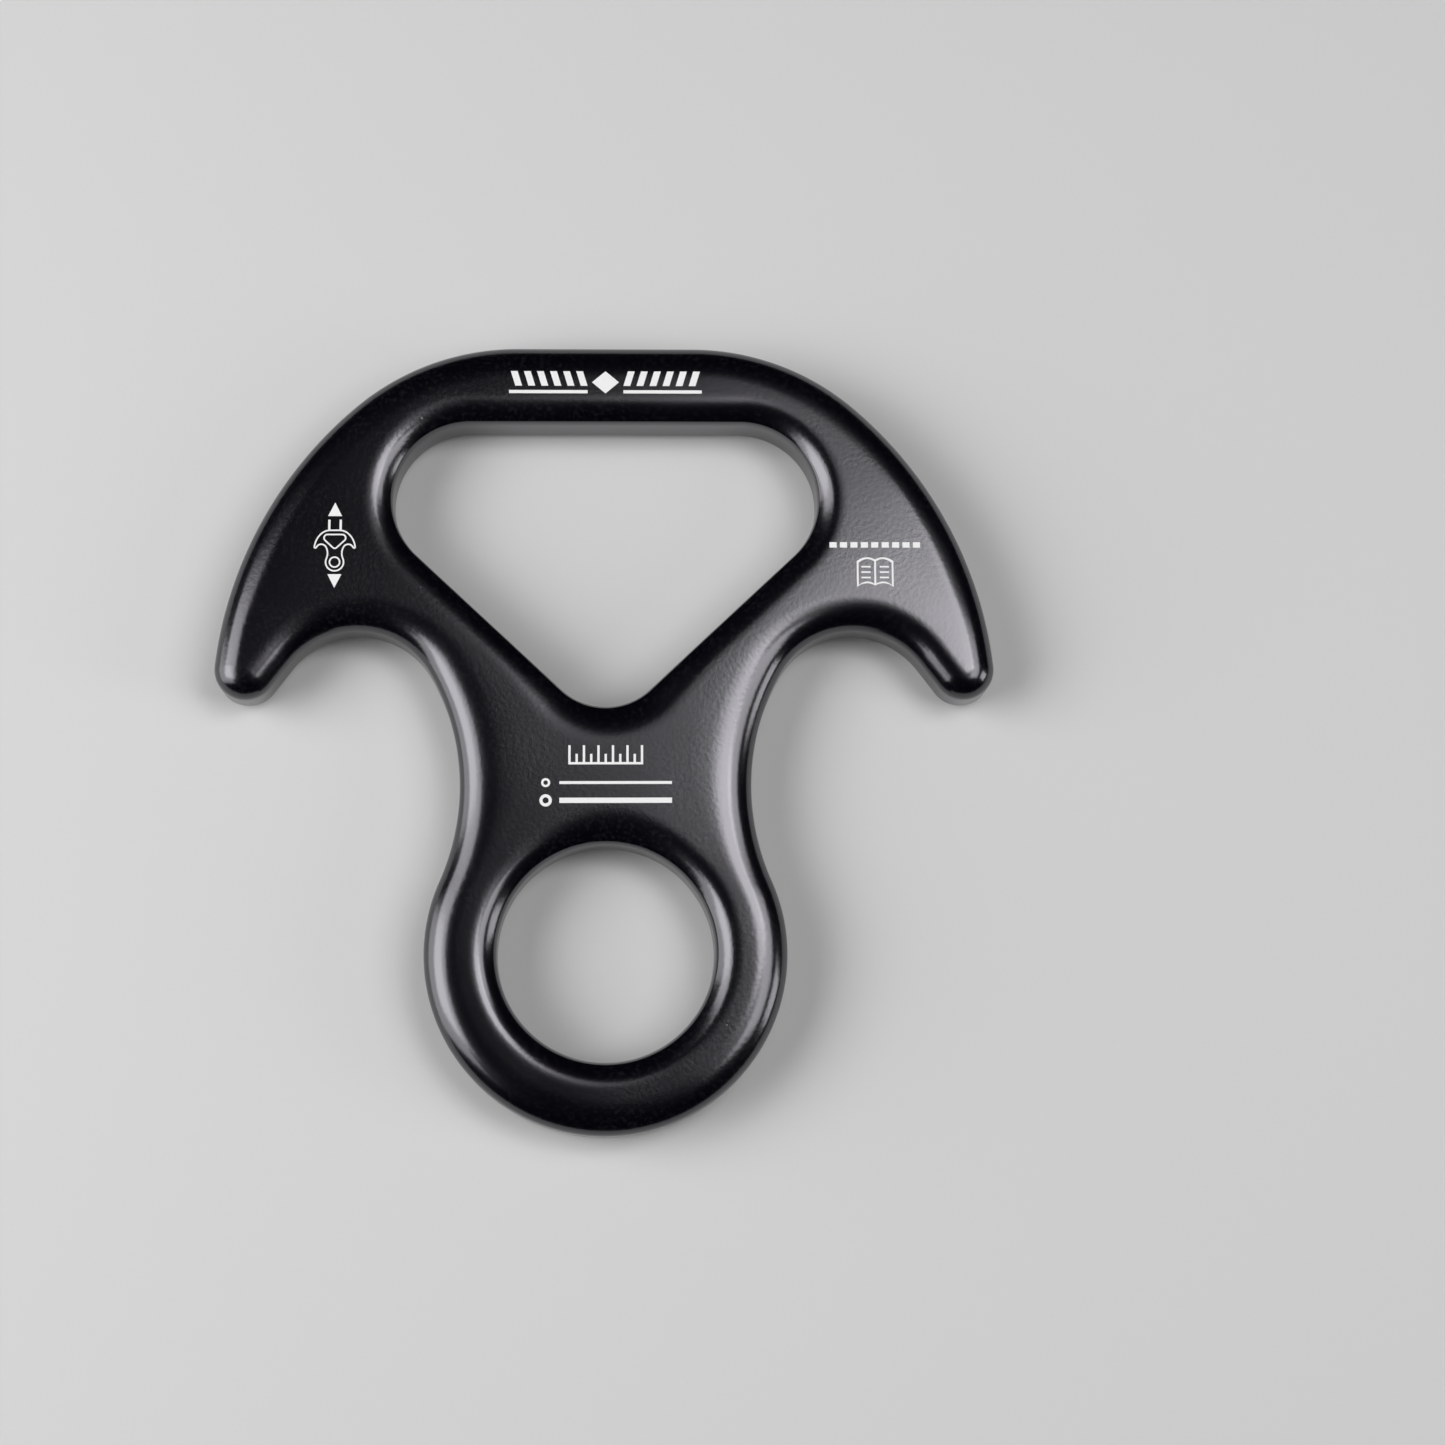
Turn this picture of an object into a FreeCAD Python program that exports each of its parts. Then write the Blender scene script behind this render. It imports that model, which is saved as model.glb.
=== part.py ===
import FreeCAD, Part
import math
import os

# Rescue pattern figure eight descender with two horns, forged as one piece of aluminium alloy.
# All lengths are in millimetres. The plate lies in the XY plane with its marked face towards +Z.
# The origin is the centre of the carabiner eye, half way through the thickness.
# +Y runs from the eye to the straight top bar, and the outline is the same on both sides of X = 0.

# Plate and its rounded edges
THICKNESS = 14.0
EDGE_ROUND = 4.0

# Carabiner eye and the ring round it
EYE_RADIUS = 20.0
RING_WIDTH = 13.4

# Web between the eye and the rope opening, with the concave waist on each side of it
WEB_LENGTH = 25.8
WAIST_RADIUS = 43.6

# Rope opening: a rounded triangle with its point towards the eye
OPENING_WIDTH = 79.4
OPENING_HEIGHT = 53.8
OPENING_CORNER_RADIUS = 14.6
OPENING_POINT_RADIUS = 11.9

# Straight bar across the top, and the shoulder that bends down from it into the long horn edge
BAR_WIDTH = 14.9
SHOULDER_RADIUS = 46.0
SHOULDER_DROP = 11.3
HORN_EDGE_RADIUS = 76.0

# Arm beside the opening's point, and the round hook below it that catches the rope
ARM_WIDTH = 13.7
HOOK_RADIUS = 15.6
HOOK_SPACING = 92.4

# Horn tip: its radius, its height above the hook's centre, and the straight run between them
HORN_TIP_RADIUS = 5.8
HORN_TIP_RISE = 8.4
HORN_INNER_RUN = 5.7

# A rounded edge never takes more than this share of the thinnest wall, the thickness or a tip
ROUND_WALL_SHARE = 0.4

# White ink of the markings
INK_FILM = 0.1
INK_LINE = 0.45

# Stripe on the bar: its length as a share of the straight top of the opening, its height and
# line as shares of the bar's flat, and the slanted hashes on each side of the diamond
STRIPE_LENGTH_SHARE = 0.72
STRIPE_HEIGHT_SHARE = 0.62
STRIPE_LINE_SHARE = 0.09
STRIPE_GAP_SHARE = 0.12
DIAMOND_SHARE = 0.14
HASH_COUNT = 6
HASH_FILL_SHARE = 0.52
HASH_SLANT_SHARE = 0.35

# Marks on the horns, as shares of the flat across the horn where they stand
HORN_MARK_HEIGHT_SHARE = 0.61
HORN_MARK_ACROSS_SHARE = 0.46
ARROW_SIZE_SHARE = 0.113
ARROW_UP_SHARE = 0.315
ARROW_DOWN_SHARE = -0.28
SYMBOL_EYE_SHARE = 0.07
SYMBOL_EYE_PLACE_SHARE = -0.132
SYMBOL_RING_SHARE = 0.1
SYMBOL_ROPE_SHARE = 0.09
SYMBOL_ROPE_SPACING_SHARE = 0.1
SYMBOL_GAP_SHARE = 0.02

# Dashed rule above the book, in shares of the same flat
RULE_LENGTH_SHARE = 0.74
RULE_HEIGHT_SHARE = 0.045
RULE_PLACE_SHARE = 0.025
RULE_DASHES = 9
RULE_FILL_SHARE = 0.68

# Open book: its place and half width in shares of the flat, and its outline in shares of that half width
BOOK_PLACE_SHARE = -0.205
BOOK_HALF_WIDTH_SHARE = 0.15
BOOK_SIDE_TOP_SHARE = 0.63
BOOK_CREST_SHARE = 0.84
BOOK_SPINE_TOP_SHARE = 0.72
BOOK_SIDE_BOTTOM_SHARE = -0.8
BOOK_DIP_SHARE = -0.6
BOOK_SPINE_BOTTOM_SHARE = -0.72
BOOK_TEXT_PLACE_SHARES = (0.32, 0.02, -0.28)
BOOK_TEXT_LENGTH_SHARE = 0.5
BOOK_TEXT_HEIGHT_SHARE = 0.09

# Marks on the web: rows as shares of its flat length, lengths as shares of the waist's flat width
TICK_ROW_SHARE = 0.69
THIN_ROPE_ROW_SHARE = 0.4
THICK_ROPE_ROW_SHARE = 0.215
ROPE_MARK_LENGTH_SHARE = 0.53
THIN_ROPE_RADIUS_SHARE = 0.047
THICK_ROPE_RADIUS_SHARE = 0.064
THIN_ROPE_LINE_SHARE = 0.03
THICK_ROPE_LINE_SHARE = 0.055
ROPE_GAP_SHARE = 0.03
TICK_SCALE_LENGTH_SHARE = 0.3
TICK_COUNT = 11
TICK_LONG_SHARE = 0.2
TICK_SHORT_SHARE = 0.11
TICK_LINE_SHARE = 0.024

# Cutting tools run this far past the faces that they cut
OVERRUN = 1.0

# Sizes that follow from the ones above
half_thickness = THICKNESS / 2
ring_radius = EYE_RADIUS + RING_WIDTH
opening_bottom = EYE_RADIUS + WEB_LENGTH
opening_top = opening_bottom + OPENING_HEIGHT
bar_top = opening_top + BAR_WIDTH


def vector(x, y, z=0):
    """Return a point or a direction."""
    return FreeCAD.Vector(x, y, z)


def direction(angle):
    """Return the unit vector at an angle, in radians from +X."""
    return vector(math.cos(angle), math.sin(angle))


def angle_of(step):
    """Return the angle of a vector, in radians from +X."""
    return math.atan2(step.y, step.x)


def mirrored(place):
    """Return a point on the other side of the centre line."""
    return vector(-place.x, place.y, place.z)


def arc_edge(centre, radius, start, end):
    """Return a circular edge about a centre, from one angle to another."""
    middle = (start + end) / 2
    places = [centre + direction(angle) * radius for angle in (start, middle, end)]
    return Part.Arc(*places).toShape()


def line_edge(start, end):
    """Return a straight edge."""
    return Part.LineSegment(start, end).toShape()


def extruded(edges, low, height):
    """Close a chain of edges into a face at a height and pull it up into a solid."""
    wire = Part.Wire(Part.__sortEdges__(edges))
    face = Part.Face(wire)
    face.translate(vector(0, 0, low))
    return face.extrude(vector(0, 0, height))


# The opening is the hull of two corner circles and one point circle.
# The leg joins them: its outward normal n has n.(corner - point) = point radius - corner radius.
corner_centre = vector(OPENING_WIDTH / 2 - OPENING_CORNER_RADIUS, opening_top - OPENING_CORNER_RADIUS)
point_centre = vector(0, opening_bottom + OPENING_POINT_RADIUS)
leg_step = corner_centre - point_centre
leg_turn = math.acos((OPENING_POINT_RADIUS - OPENING_CORNER_RADIUS) / leg_step.Length)
leg_angle = angle_of(leg_step) - leg_turn
leg_normal = direction(leg_angle)
leg_offset = leg_normal.dot(point_centre) + OPENING_POINT_RADIUS

# The hook's circle lies one arm's width outside the leg.
hook_x = HOOK_SPACING / 2
hook_offset = leg_offset + ARM_WIDTH + HOOK_RADIUS
hook_centre = vector(hook_x, (hook_offset - leg_normal.x * hook_x) / leg_normal.y)

# The tip's circle and the hook's circle share one straight tangent that crosses between them.
tip_reach = math.hypot(HORN_TIP_RADIUS + HOOK_RADIUS, HORN_INNER_RUN)
tip_angle = math.asin(HORN_TIP_RISE / tip_reach)
tip_centre = hook_centre + direction(tip_angle) * tip_reach
inner_turn = math.acos((HORN_TIP_RADIUS + HOOK_RADIUS) / tip_reach)
inner_angle = tip_angle + math.pi + inner_turn
inner_normal = direction(inner_angle)

# The shoulder arc leaves the bar's straight edge and drops by a set amount. The horn edge arc
# takes over there with the same tangent and ends on the tip's circle.
shoulder_sweep = math.acos((SHOULDER_RADIUS - SHOULDER_DROP) / SHOULDER_RADIUS)
shoulder_end = math.pi / 2 - shoulder_sweep
shoulder_y = bar_top - SHOULDER_RADIUS
edge_shift = direction(shoulder_end) * (SHOULDER_RADIUS - HORN_EDGE_RADIUS)
edge_y = shoulder_y + edge_shift.y
edge_reach = HORN_EDGE_RADIUS - HORN_TIP_RADIUS
edge_x = tip_centre.x - math.sqrt(edge_reach ** 2 - (tip_centre.y - edge_y) ** 2)
edge_centre = vector(edge_x, edge_y)
shoulder_centre = edge_centre - edge_shift

# The waist arc touches the ring from outside and swallows the hook's circle:
# its centre is ring radius + waist radius from the eye, waist radius - hook radius from the hook.
hook_distance = hook_centre.Length
eye_reach = ring_radius + WAIST_RADIUS
hook_reach = WAIST_RADIUS - HOOK_RADIUS
waist_sum = eye_reach ** 2 + hook_distance ** 2 - hook_reach ** 2
waist_turn = math.acos(waist_sum / (2 * eye_reach * hook_distance))
waist_angle = angle_of(hook_centre) - waist_turn
waist_centre = direction(waist_angle) * eye_reach

# The rounded edges are limited by the thinnest wall that they share.
shoulder_wall = SHOULDER_RADIUS - (shoulder_centre - corner_centre).Length - OPENING_CORNER_RADIUS
horn_wall = HORN_EDGE_RADIUS - (edge_centre - hook_centre).Length - HOOK_RADIUS
walls = [RING_WIDTH, BAR_WIDTH, ARM_WIDTH, shoulder_wall, horn_wall, 2 * HORN_TIP_RADIUS, THICKNESS]
thinnest_wall = min(walls)
edge_round = min(EDGE_ROUND, ROUND_WALL_SHARE * thinnest_wall)


def outline_edges():
    """Return the outer outline: tangent arcs and lines, the right half and its mirror image."""
    top_start = shoulder_centre + vector(0, SHOULDER_RADIUS)
    edge_end = angle_of(tip_centre - edge_centre)
    hook_start = inner_angle - math.pi
    hook_end = angle_of(hook_centre - waist_centre)
    right = [
        arc_edge(shoulder_centre, SHOULDER_RADIUS, math.pi / 2, shoulder_end),
        arc_edge(edge_centre, HORN_EDGE_RADIUS, shoulder_end, edge_end),
        arc_edge(tip_centre, HORN_TIP_RADIUS, edge_end, inner_angle - 2 * math.pi),
        line_edge(tip_centre + inner_normal * HORN_TIP_RADIUS, hook_centre - inner_normal * HOOK_RADIUS),
        arc_edge(hook_centre, HOOK_RADIUS, hook_start, hook_end),
        arc_edge(waist_centre, WAIST_RADIUS, hook_end, waist_angle + math.pi),
    ]
    left = [edge.mirror(vector(0, 0), direction(0)) for edge in right]
    bar = line_edge(mirrored(top_start), top_start)
    ring = arc_edge(vector(0, 0), ring_radius, waist_angle, -math.pi - waist_angle)
    return [bar, ring] + right + left


def opening_edges():
    """Return the rope opening: straight top, two corners, two legs and the rounded point."""
    top_right = corner_centre + vector(0, OPENING_CORNER_RADIUS)
    leg_high = corner_centre + leg_normal * OPENING_CORNER_RADIUS
    leg_low = point_centre + leg_normal * OPENING_POINT_RADIUS
    right = [
        arc_edge(corner_centre, OPENING_CORNER_RADIUS, math.pi / 2, leg_angle),
        line_edge(leg_high, leg_low),
    ]
    left = [edge.mirror(vector(0, 0), direction(0)) for edge in right]
    top = line_edge(mirrored(top_right), top_right)
    point = arc_edge(point_centre, OPENING_POINT_RADIUS, leg_angle, -math.pi - leg_angle)
    return [top, point] + right + left


def make_body():
    """Return the forged body: outline, opening and eye, with every edge of both faces rounded."""
    plate = extruded(outline_edges(), -half_thickness, THICKNESS)
    tool_low = -half_thickness - OVERRUN
    tool_height = THICKNESS + 2 * OVERRUN
    opening = extruded(opening_edges(), tool_low, tool_height)
    eye = Part.makeCylinder(EYE_RADIUS, tool_height, vector(0, 0, tool_low))
    blank = plate.cut(opening).cut(eye)
    face_edges = [edge for edge in blank.Edges if abs(edge.CenterOfMass.z) > half_thickness / 2]
    return blank.makeFillet(edge_round, face_edges)


def ink_polygon(places):
    """Return a film of ink on the marked face, with straight sides."""
    corners = [vector(x, y, half_thickness) for x, y in places]
    face = Part.Face(Part.makePolygon(corners + corners[:1]))
    return face.extrude(vector(0, 0, INK_FILM))


def ink_bar(x, y, width, height):
    """Return a rectangle of ink about a centre."""
    left, right = x - width / 2, x + width / 2
    low, high = y - height / 2, y + height / 2
    return ink_polygon([(left, low), (right, low), (right, high), (left, high)])


def ink_disc(x, y, radius):
    """Return a round dot of ink about a centre."""
    return Part.makeCylinder(radius, INK_FILM, vector(x, y, half_thickness))


def ink_ring(x, y, radius, line):
    """Return a circle drawn with a line that lies inside its radius."""
    return ink_disc(x, y, radius).cut(ink_disc(x, y, radius - line))


def mirror_ink(solid):
    """Return the mirror image of a mark across the centre line."""
    return solid.mirror(vector(0, 0), direction(0))


def make_bar_stripe():
    """Return the stripe on the bar: a diamond, slanted hashes on both sides and a thin line below."""
    flat = BAR_WIDTH - 2 * edge_round
    centre_y = opening_top + BAR_WIDTH / 2
    height = STRIPE_HEIGHT_SHARE * flat
    half_length = STRIPE_LENGTH_SHARE * corner_centre.x
    low, high = centre_y - height / 2, centre_y + height / 2
    diamond = DIAMOND_SHARE * half_length
    solids = [ink_polygon([(-diamond, centre_y), (0, low), (diamond, centre_y), (0, high)])]
    line = STRIPE_LINE_SHARE * flat
    gap = STRIPE_GAP_SHARE * flat
    start = diamond + gap
    pitch = (half_length - start) / HASH_COUNT
    hash_low = low + line + gap
    slant = HASH_SLANT_SHARE * pitch
    width = HASH_FILL_SHARE * pitch
    right = [ink_bar((start + half_length) / 2, low + line / 2, half_length - start, line)]
    for index in range(HASH_COUNT):
        x = start + index * pitch
        corners = [(x, hash_low), (x + width, hash_low), (x + width + slant, high), (x + slant, high)]
        right.append(ink_polygon(corners))
    return Part.makeCompound(solids + right + [mirror_ink(solid) for solid in right])


def horn_mark_place():
    """Return the centre of the marks on the right horn, and the flat width across it there."""
    hook_top = hook_centre.y + HOOK_RADIUS
    y = hook_top + HORN_MARK_HEIGHT_SHARE * (corner_centre.y - hook_top)
    inner = corner_centre.x + math.sqrt(OPENING_CORNER_RADIUS ** 2 - (y - corner_centre.y) ** 2)
    outer = edge_centre.x + math.sqrt(HORN_EDGE_RADIUS ** 2 - (y - edge_centre.y) ** 2)
    return inner + HORN_MARK_ACROSS_SHARE * (outer - inner), y, outer - inner - 2 * edge_round


horn_x, horn_y, horn_flat = horn_mark_place()


def make_load_arrow(place_share, way):
    """Return one filled load arrow on the left horn, pointing up (1) or down (-1)."""
    size = ARROW_SIZE_SHARE * horn_flat
    y = horn_y + place_share * horn_flat
    base, tip = y - way * size / 2, y + way * size / 2
    return ink_polygon([(-horn_x - size / 2, base), (-horn_x + size / 2, base), (-horn_x, tip)])


def make_load_symbol():
    """Return the load symbol: a small eye ring, a larger ring above it and two rope strands."""
    eye_radius = SYMBOL_EYE_SHARE * horn_flat
    big_radius = SYMBOL_RING_SHARE * horn_flat
    gap = SYMBOL_GAP_SHARE * horn_flat
    eye_y = horn_y + SYMBOL_EYE_PLACE_SHARE * horn_flat
    ring_y = eye_y + eye_radius + big_radius - INK_LINE
    eye = ink_ring(-horn_x, eye_y, eye_radius, INK_LINE)
    rings = eye.fuse(ink_ring(-horn_x, ring_y, big_radius, INK_LINE))
    length = SYMBOL_ROPE_SHARE * horn_flat
    rope_y = ring_y + big_radius + gap + length / 2
    offset = SYMBOL_ROPE_SPACING_SHARE * horn_flat / 2
    strands = [ink_bar(-horn_x + side * offset, rope_y, INK_LINE, length) for side in (-1, 1)]
    return Part.makeCompound([rings.removeSplitter()] + strands)


def make_rule():
    """Return the row of equal dashes on the right horn."""
    length = RULE_LENGTH_SHARE * horn_flat
    pitch = length / (RULE_DASHES - 1 + RULE_FILL_SHARE)
    first = horn_x - length / 2 + RULE_FILL_SHARE * pitch / 2
    y = horn_y + RULE_PLACE_SHARE * horn_flat
    height = RULE_HEIGHT_SHARE * horn_flat
    dash = RULE_FILL_SHARE * pitch
    dashes = [ink_bar(first + index * pitch, y, dash, height) for index in range(RULE_DASHES)]
    return Part.makeCompound(dashes)


def book_page(y, half_width, inset):
    """Return the page to the right of the spine, pulled in on all sides by an inset."""
    inner, outer = inset, half_width - inset
    middle = (inner + outer) / 2
    high = half_thickness
    top = [BOOK_SPINE_TOP_SHARE, BOOK_CREST_SHARE, BOOK_SIDE_TOP_SHARE]
    bottom = [BOOK_SPINE_BOTTOM_SHARE, BOOK_DIP_SHARE, BOOK_SIDE_BOTTOM_SHARE]
    columns = [inner, middle, outer]
    above = [vector(column, y + share * half_width - inset, high) for column, share in zip(columns, top)]
    below = [vector(column, y + share * half_width + inset, high) for column, share in zip(columns, bottom)]
    edges = [
        Part.Arc(*above).toShape(),
        line_edge(above[2], below[2]),
        Part.Arc(*below).toShape(),
        line_edge(below[0], above[0]),
    ]
    return extruded(edges, 0, INK_FILM)


def make_book():
    """Return the open book: two outlined pages and plain short lines on them."""
    y = horn_y + BOOK_PLACE_SHARE * horn_flat
    half_width = BOOK_HALF_WIDTH_SHARE * horn_flat
    word_length = BOOK_TEXT_LENGTH_SHARE * half_width
    word_height = BOOK_TEXT_HEIGHT_SHARE * half_width
    frames = []
    lines = []
    for side in (-1, 1):
        page = book_page(y, half_width, 0).cut(book_page(y, half_width, INK_LINE))
        words = [
            ink_bar(half_width / 2, y + share * half_width, word_length, word_height)
            for share in BOOK_TEXT_PLACE_SHARES
        ]
        if side < 0:
            page = mirror_ink(page)
            words = [mirror_ink(word) for word in words]
        frames.append(page)
        lines.extend(words)
    cover = frames[0].fuse(frames[1]).removeSplitter()
    book = Part.makeCompound([cover] + lines)
    book.translate(vector(horn_x, 0))
    return book


# The web's marks stand between the rounded edges of the eye and of the opening's point.
web_flat = WEB_LENGTH - 2 * edge_round
waist_flat = 2 * (waist_centre.x - WAIST_RADIUS - edge_round)


def web_row(share):
    """Return the height of a row of marks on the web."""
    return EYE_RADIUS + edge_round + share * web_flat


def make_rope_mark(row_share, radius_share, line_share):
    """Return a rope symbol: the rope's end seen as a circle, and the rope seen from the side."""
    length = ROPE_MARK_LENGTH_SHARE * waist_flat
    y = web_row(row_share)
    radius = radius_share * web_flat
    start = -length / 2 + 2 * THICK_ROPE_RADIUS_SHARE * web_flat + ROPE_GAP_SHARE * waist_flat
    circle = ink_ring(-length / 2 + THICK_ROPE_RADIUS_SHARE * web_flat, y, radius, radius / 2)
    rope = ink_bar((start + length / 2) / 2, y, length / 2 - start, line_share * web_flat)
    return Part.makeCompound([circle, rope])


def make_tick_scale():
    """Return a plain scale: a base line with long and short ticks in turn, all one film."""
    length = TICK_SCALE_LENGTH_SHARE * waist_flat
    line = TICK_LINE_SHARE * web_flat
    y = web_row(TICK_ROW_SHARE) - TICK_LONG_SHARE * web_flat / 2
    pitch = (length - line) / (TICK_COUNT - 1)
    scale = ink_bar(0, y + line / 2, length, line)
    for index in range(TICK_COUNT):
        height = (TICK_SHORT_SHARE if index % 2 else TICK_LONG_SHARE) * web_flat
        x = -length / 2 + line / 2 + index * pitch
        scale = scale.fuse(ink_bar(x, y + height / 2, line, height))
    return scale.removeSplitter()


def save(name, shape):
    """Write one named piece and print what it holds."""
    shape.exportStep(os.path.join("parts", name + ".step"))
    print(f"{name}: {len(shape.Solids)} solids, {shape.Volume:.2f} mm3, valid {shape.isValid()}")


os.makedirs("parts", exist_ok=True)
save("descender_body", make_body())
save("bar_stripe_mark", make_bar_stripe())
save("load_arrow_up_mark", make_load_arrow(ARROW_UP_SHARE, 1))
save("load_arrow_down_mark", make_load_arrow(ARROW_DOWN_SHARE, -1))
save("load_symbol_mark", make_load_symbol())
save("dashed_rule_mark", make_rule())
save("open_book_mark", make_book())
save("tick_scale_mark", make_tick_scale())
thin_rope = make_rope_mark(THIN_ROPE_ROW_SHARE, THIN_ROPE_RADIUS_SHARE, THIN_ROPE_LINE_SHARE)
save("thin_rope_mark", thin_rope)
thick_rope = make_rope_mark(THICK_ROPE_ROW_SHARE, THICK_ROPE_RADIUS_SHARE, THICK_ROPE_LINE_SHARE)
save("thick_rope_mark", thick_rope)
print(f"edge round {edge_round:.2f}, thinnest wall {thinnest_wall:.2f}")
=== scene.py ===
"""Looks of a rescue figure eight descender: one forged, black anodised body with white printed marks.

Lengths are in metres, in the part's own frame. The plate lies in the XY plane with its marked face
towards +Z, the origin is the centre of the carabiner eye, and +Y runs from the eye to the top bar.
"""

import logging
import math
from dataclasses import dataclass, replace
from enum import Enum
from functools import cached_property

import bpy
import numpy as np
from mathutils import Matrix, Quaternion, Vector
from mathutils.geometry import delaunay_2d_cdt


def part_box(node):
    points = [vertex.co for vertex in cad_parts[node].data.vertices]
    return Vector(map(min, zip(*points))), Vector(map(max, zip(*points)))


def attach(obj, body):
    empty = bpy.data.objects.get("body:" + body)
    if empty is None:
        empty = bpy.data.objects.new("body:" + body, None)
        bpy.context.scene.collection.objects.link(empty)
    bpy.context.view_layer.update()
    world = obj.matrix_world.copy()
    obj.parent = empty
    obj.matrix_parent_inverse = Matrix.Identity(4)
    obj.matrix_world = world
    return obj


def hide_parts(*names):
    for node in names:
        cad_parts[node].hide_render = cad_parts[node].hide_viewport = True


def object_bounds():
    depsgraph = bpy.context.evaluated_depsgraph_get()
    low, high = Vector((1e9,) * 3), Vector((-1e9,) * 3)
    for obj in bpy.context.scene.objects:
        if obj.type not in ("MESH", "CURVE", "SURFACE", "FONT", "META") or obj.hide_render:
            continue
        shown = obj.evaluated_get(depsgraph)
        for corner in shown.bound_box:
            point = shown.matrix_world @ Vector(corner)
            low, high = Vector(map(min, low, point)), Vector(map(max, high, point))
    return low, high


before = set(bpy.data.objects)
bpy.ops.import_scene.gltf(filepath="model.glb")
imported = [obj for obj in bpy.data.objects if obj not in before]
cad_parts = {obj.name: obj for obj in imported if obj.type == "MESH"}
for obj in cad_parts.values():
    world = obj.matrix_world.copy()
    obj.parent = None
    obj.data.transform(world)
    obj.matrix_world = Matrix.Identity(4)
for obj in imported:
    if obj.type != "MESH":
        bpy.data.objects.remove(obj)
CAD_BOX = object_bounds()

LOG = logging.getLogger("descender")
MM = 0.001
QUARTER_TURN = math.pi / 2
ROUNDING_SLACK = 1e-9
SAME_POINT_MM = 1e-7
BODY = "root"


class MetalSide(Enum):
    """Side of an arc that the metal lies on, as a factor of the outward radius."""

    WITHIN = -1
    BEYOND = 1


class Slot(Enum):
    """Material slots of the record."""

    ANODISED = "anodised_body"
    INK = "white_ink"


class ArrowWay(Enum):
    """Which way a load arrow points, as a factor of +Y."""

    UP = 1
    DOWN = -1


def unit(angle: float) -> np.ndarray:
    """Return the unit vector at an angle, in radians from +X."""
    return np.array([math.cos(angle), math.sin(angle)])


def angle_of(step: np.ndarray) -> float:
    """Return the angle of a vector, in radians from +X."""
    return math.atan2(step[1], step[0])


def mirrored(places: np.ndarray) -> np.ndarray:
    """Return points or directions on the other side of the centre line."""
    return places * np.array([-1.0, 1.0])


@dataclass(frozen=True)
class Fineness:
    """How closely an outline is sampled.

    Attributes:
        step: longest distance between neighbouring points.
        turn: largest turn between neighbouring points, in radians.
    """

    step: float = 1.2 * MM
    turn: float = math.radians(1.5)


@dataclass(frozen=True)
class Arc:
    """Circular stretch of a rim, travelled with the metal on the right hand.

    Attributes:
        centre: centre of the circle.
        radius: its radius.
        start: angle of the first point, in radians from +X.
        end: angle of the last point.
        metal: side that the metal lies on.
    """

    centre: np.ndarray
    radius: float
    start: float
    end: float
    metal: MetalSide

    def trace(self, fineness: Fineness) -> tuple[np.ndarray, np.ndarray]:
        """Sample centre + radius * (cos t, sin t) for even t, without the last point.

        Args:
            fineness: how close the points lie.

        Returns:
            The points and the unit normals into the metal.
        """
        sweep = abs(self.end - self.start)
        count = max(math.ceil(sweep * self.radius / fineness.step), math.ceil(sweep / fineness.turn))
        angles = np.linspace(self.start, self.end, count, endpoint=False)
        spokes = np.stack([np.cos(angles), np.sin(angles)], axis=1)
        return self.centre + self.radius * spokes, self.metal.value * spokes

    def depth(self, places: np.ndarray) -> np.ndarray:
        """Measure how deep points lie in the metal behind the arc.

        Args:
            places: plan points.

        Returns:
            Each point's depth, infinite outside the arc's own sector.
        """
        spokes = places - self.centre
        middle = unit((self.start + self.end) / 2)
        across = np.arctan2(middle[0] * spokes[:, 1] - middle[1] * spokes[:, 0], spokes @ middle)
        depths = self.metal.value * (np.hypot(spokes[:, 0], spokes[:, 1]) - self.radius)
        inside = np.abs(across) <= abs(self.end - self.start) / 2 + ROUNDING_SLACK
        return np.where(inside, depths, np.inf)

    def reflected(self) -> "Arc":
        """Return the mirror image across the centre line, travelled backwards."""
        start, end = math.pi - self.end, math.pi - self.start
        return replace(self, centre=mirrored(self.centre), start=start, end=end)


@dataclass(frozen=True)
class Straight:
    """Straight stretch of a rim, travelled with the metal on the right hand.

    Attributes:
        start: first point.
        end: last point.
    """

    start: np.ndarray
    end: np.ndarray

    @property
    def inward(self) -> np.ndarray:
        """Return the unit normal into the metal."""
        along = (self.end - self.start) / np.linalg.norm(self.end - self.start)
        return np.array([along[1], -along[0]])

    def trace(self, fineness: Fineness) -> tuple[np.ndarray, np.ndarray]:
        """Sample start + t * (end - start) for even t, without the last point.

        Args:
            fineness: how close the points lie.

        Returns:
            The points and the unit normals into the metal.
        """
        count = max(1, math.ceil(np.linalg.norm(self.end - self.start) / fineness.step))
        shares = np.linspace(0.0, 1.0, count, endpoint=False)[:, None]
        return self.start + shares * (self.end - self.start), np.tile(self.inward, (count, 1))

    def depth(self, places: np.ndarray) -> np.ndarray:
        """Measure how deep points lie in the metal behind the stretch.

        Args:
            places: plan points.

        Returns:
            Each point's depth, infinite beyond the stretch's two ends.
        """
        steps = places - self.start
        run = self.end - self.start
        shares = steps @ run / (run @ run)
        beside = np.abs(shares - 0.5) <= 0.5 + ROUNDING_SLACK
        return np.where(beside, steps @ self.inward, np.inf)

    def reflected(self) -> "Straight":
        """Return the mirror image across the centre line, travelled backwards."""
        return Straight(mirrored(self.end), mirrored(self.start))


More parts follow.
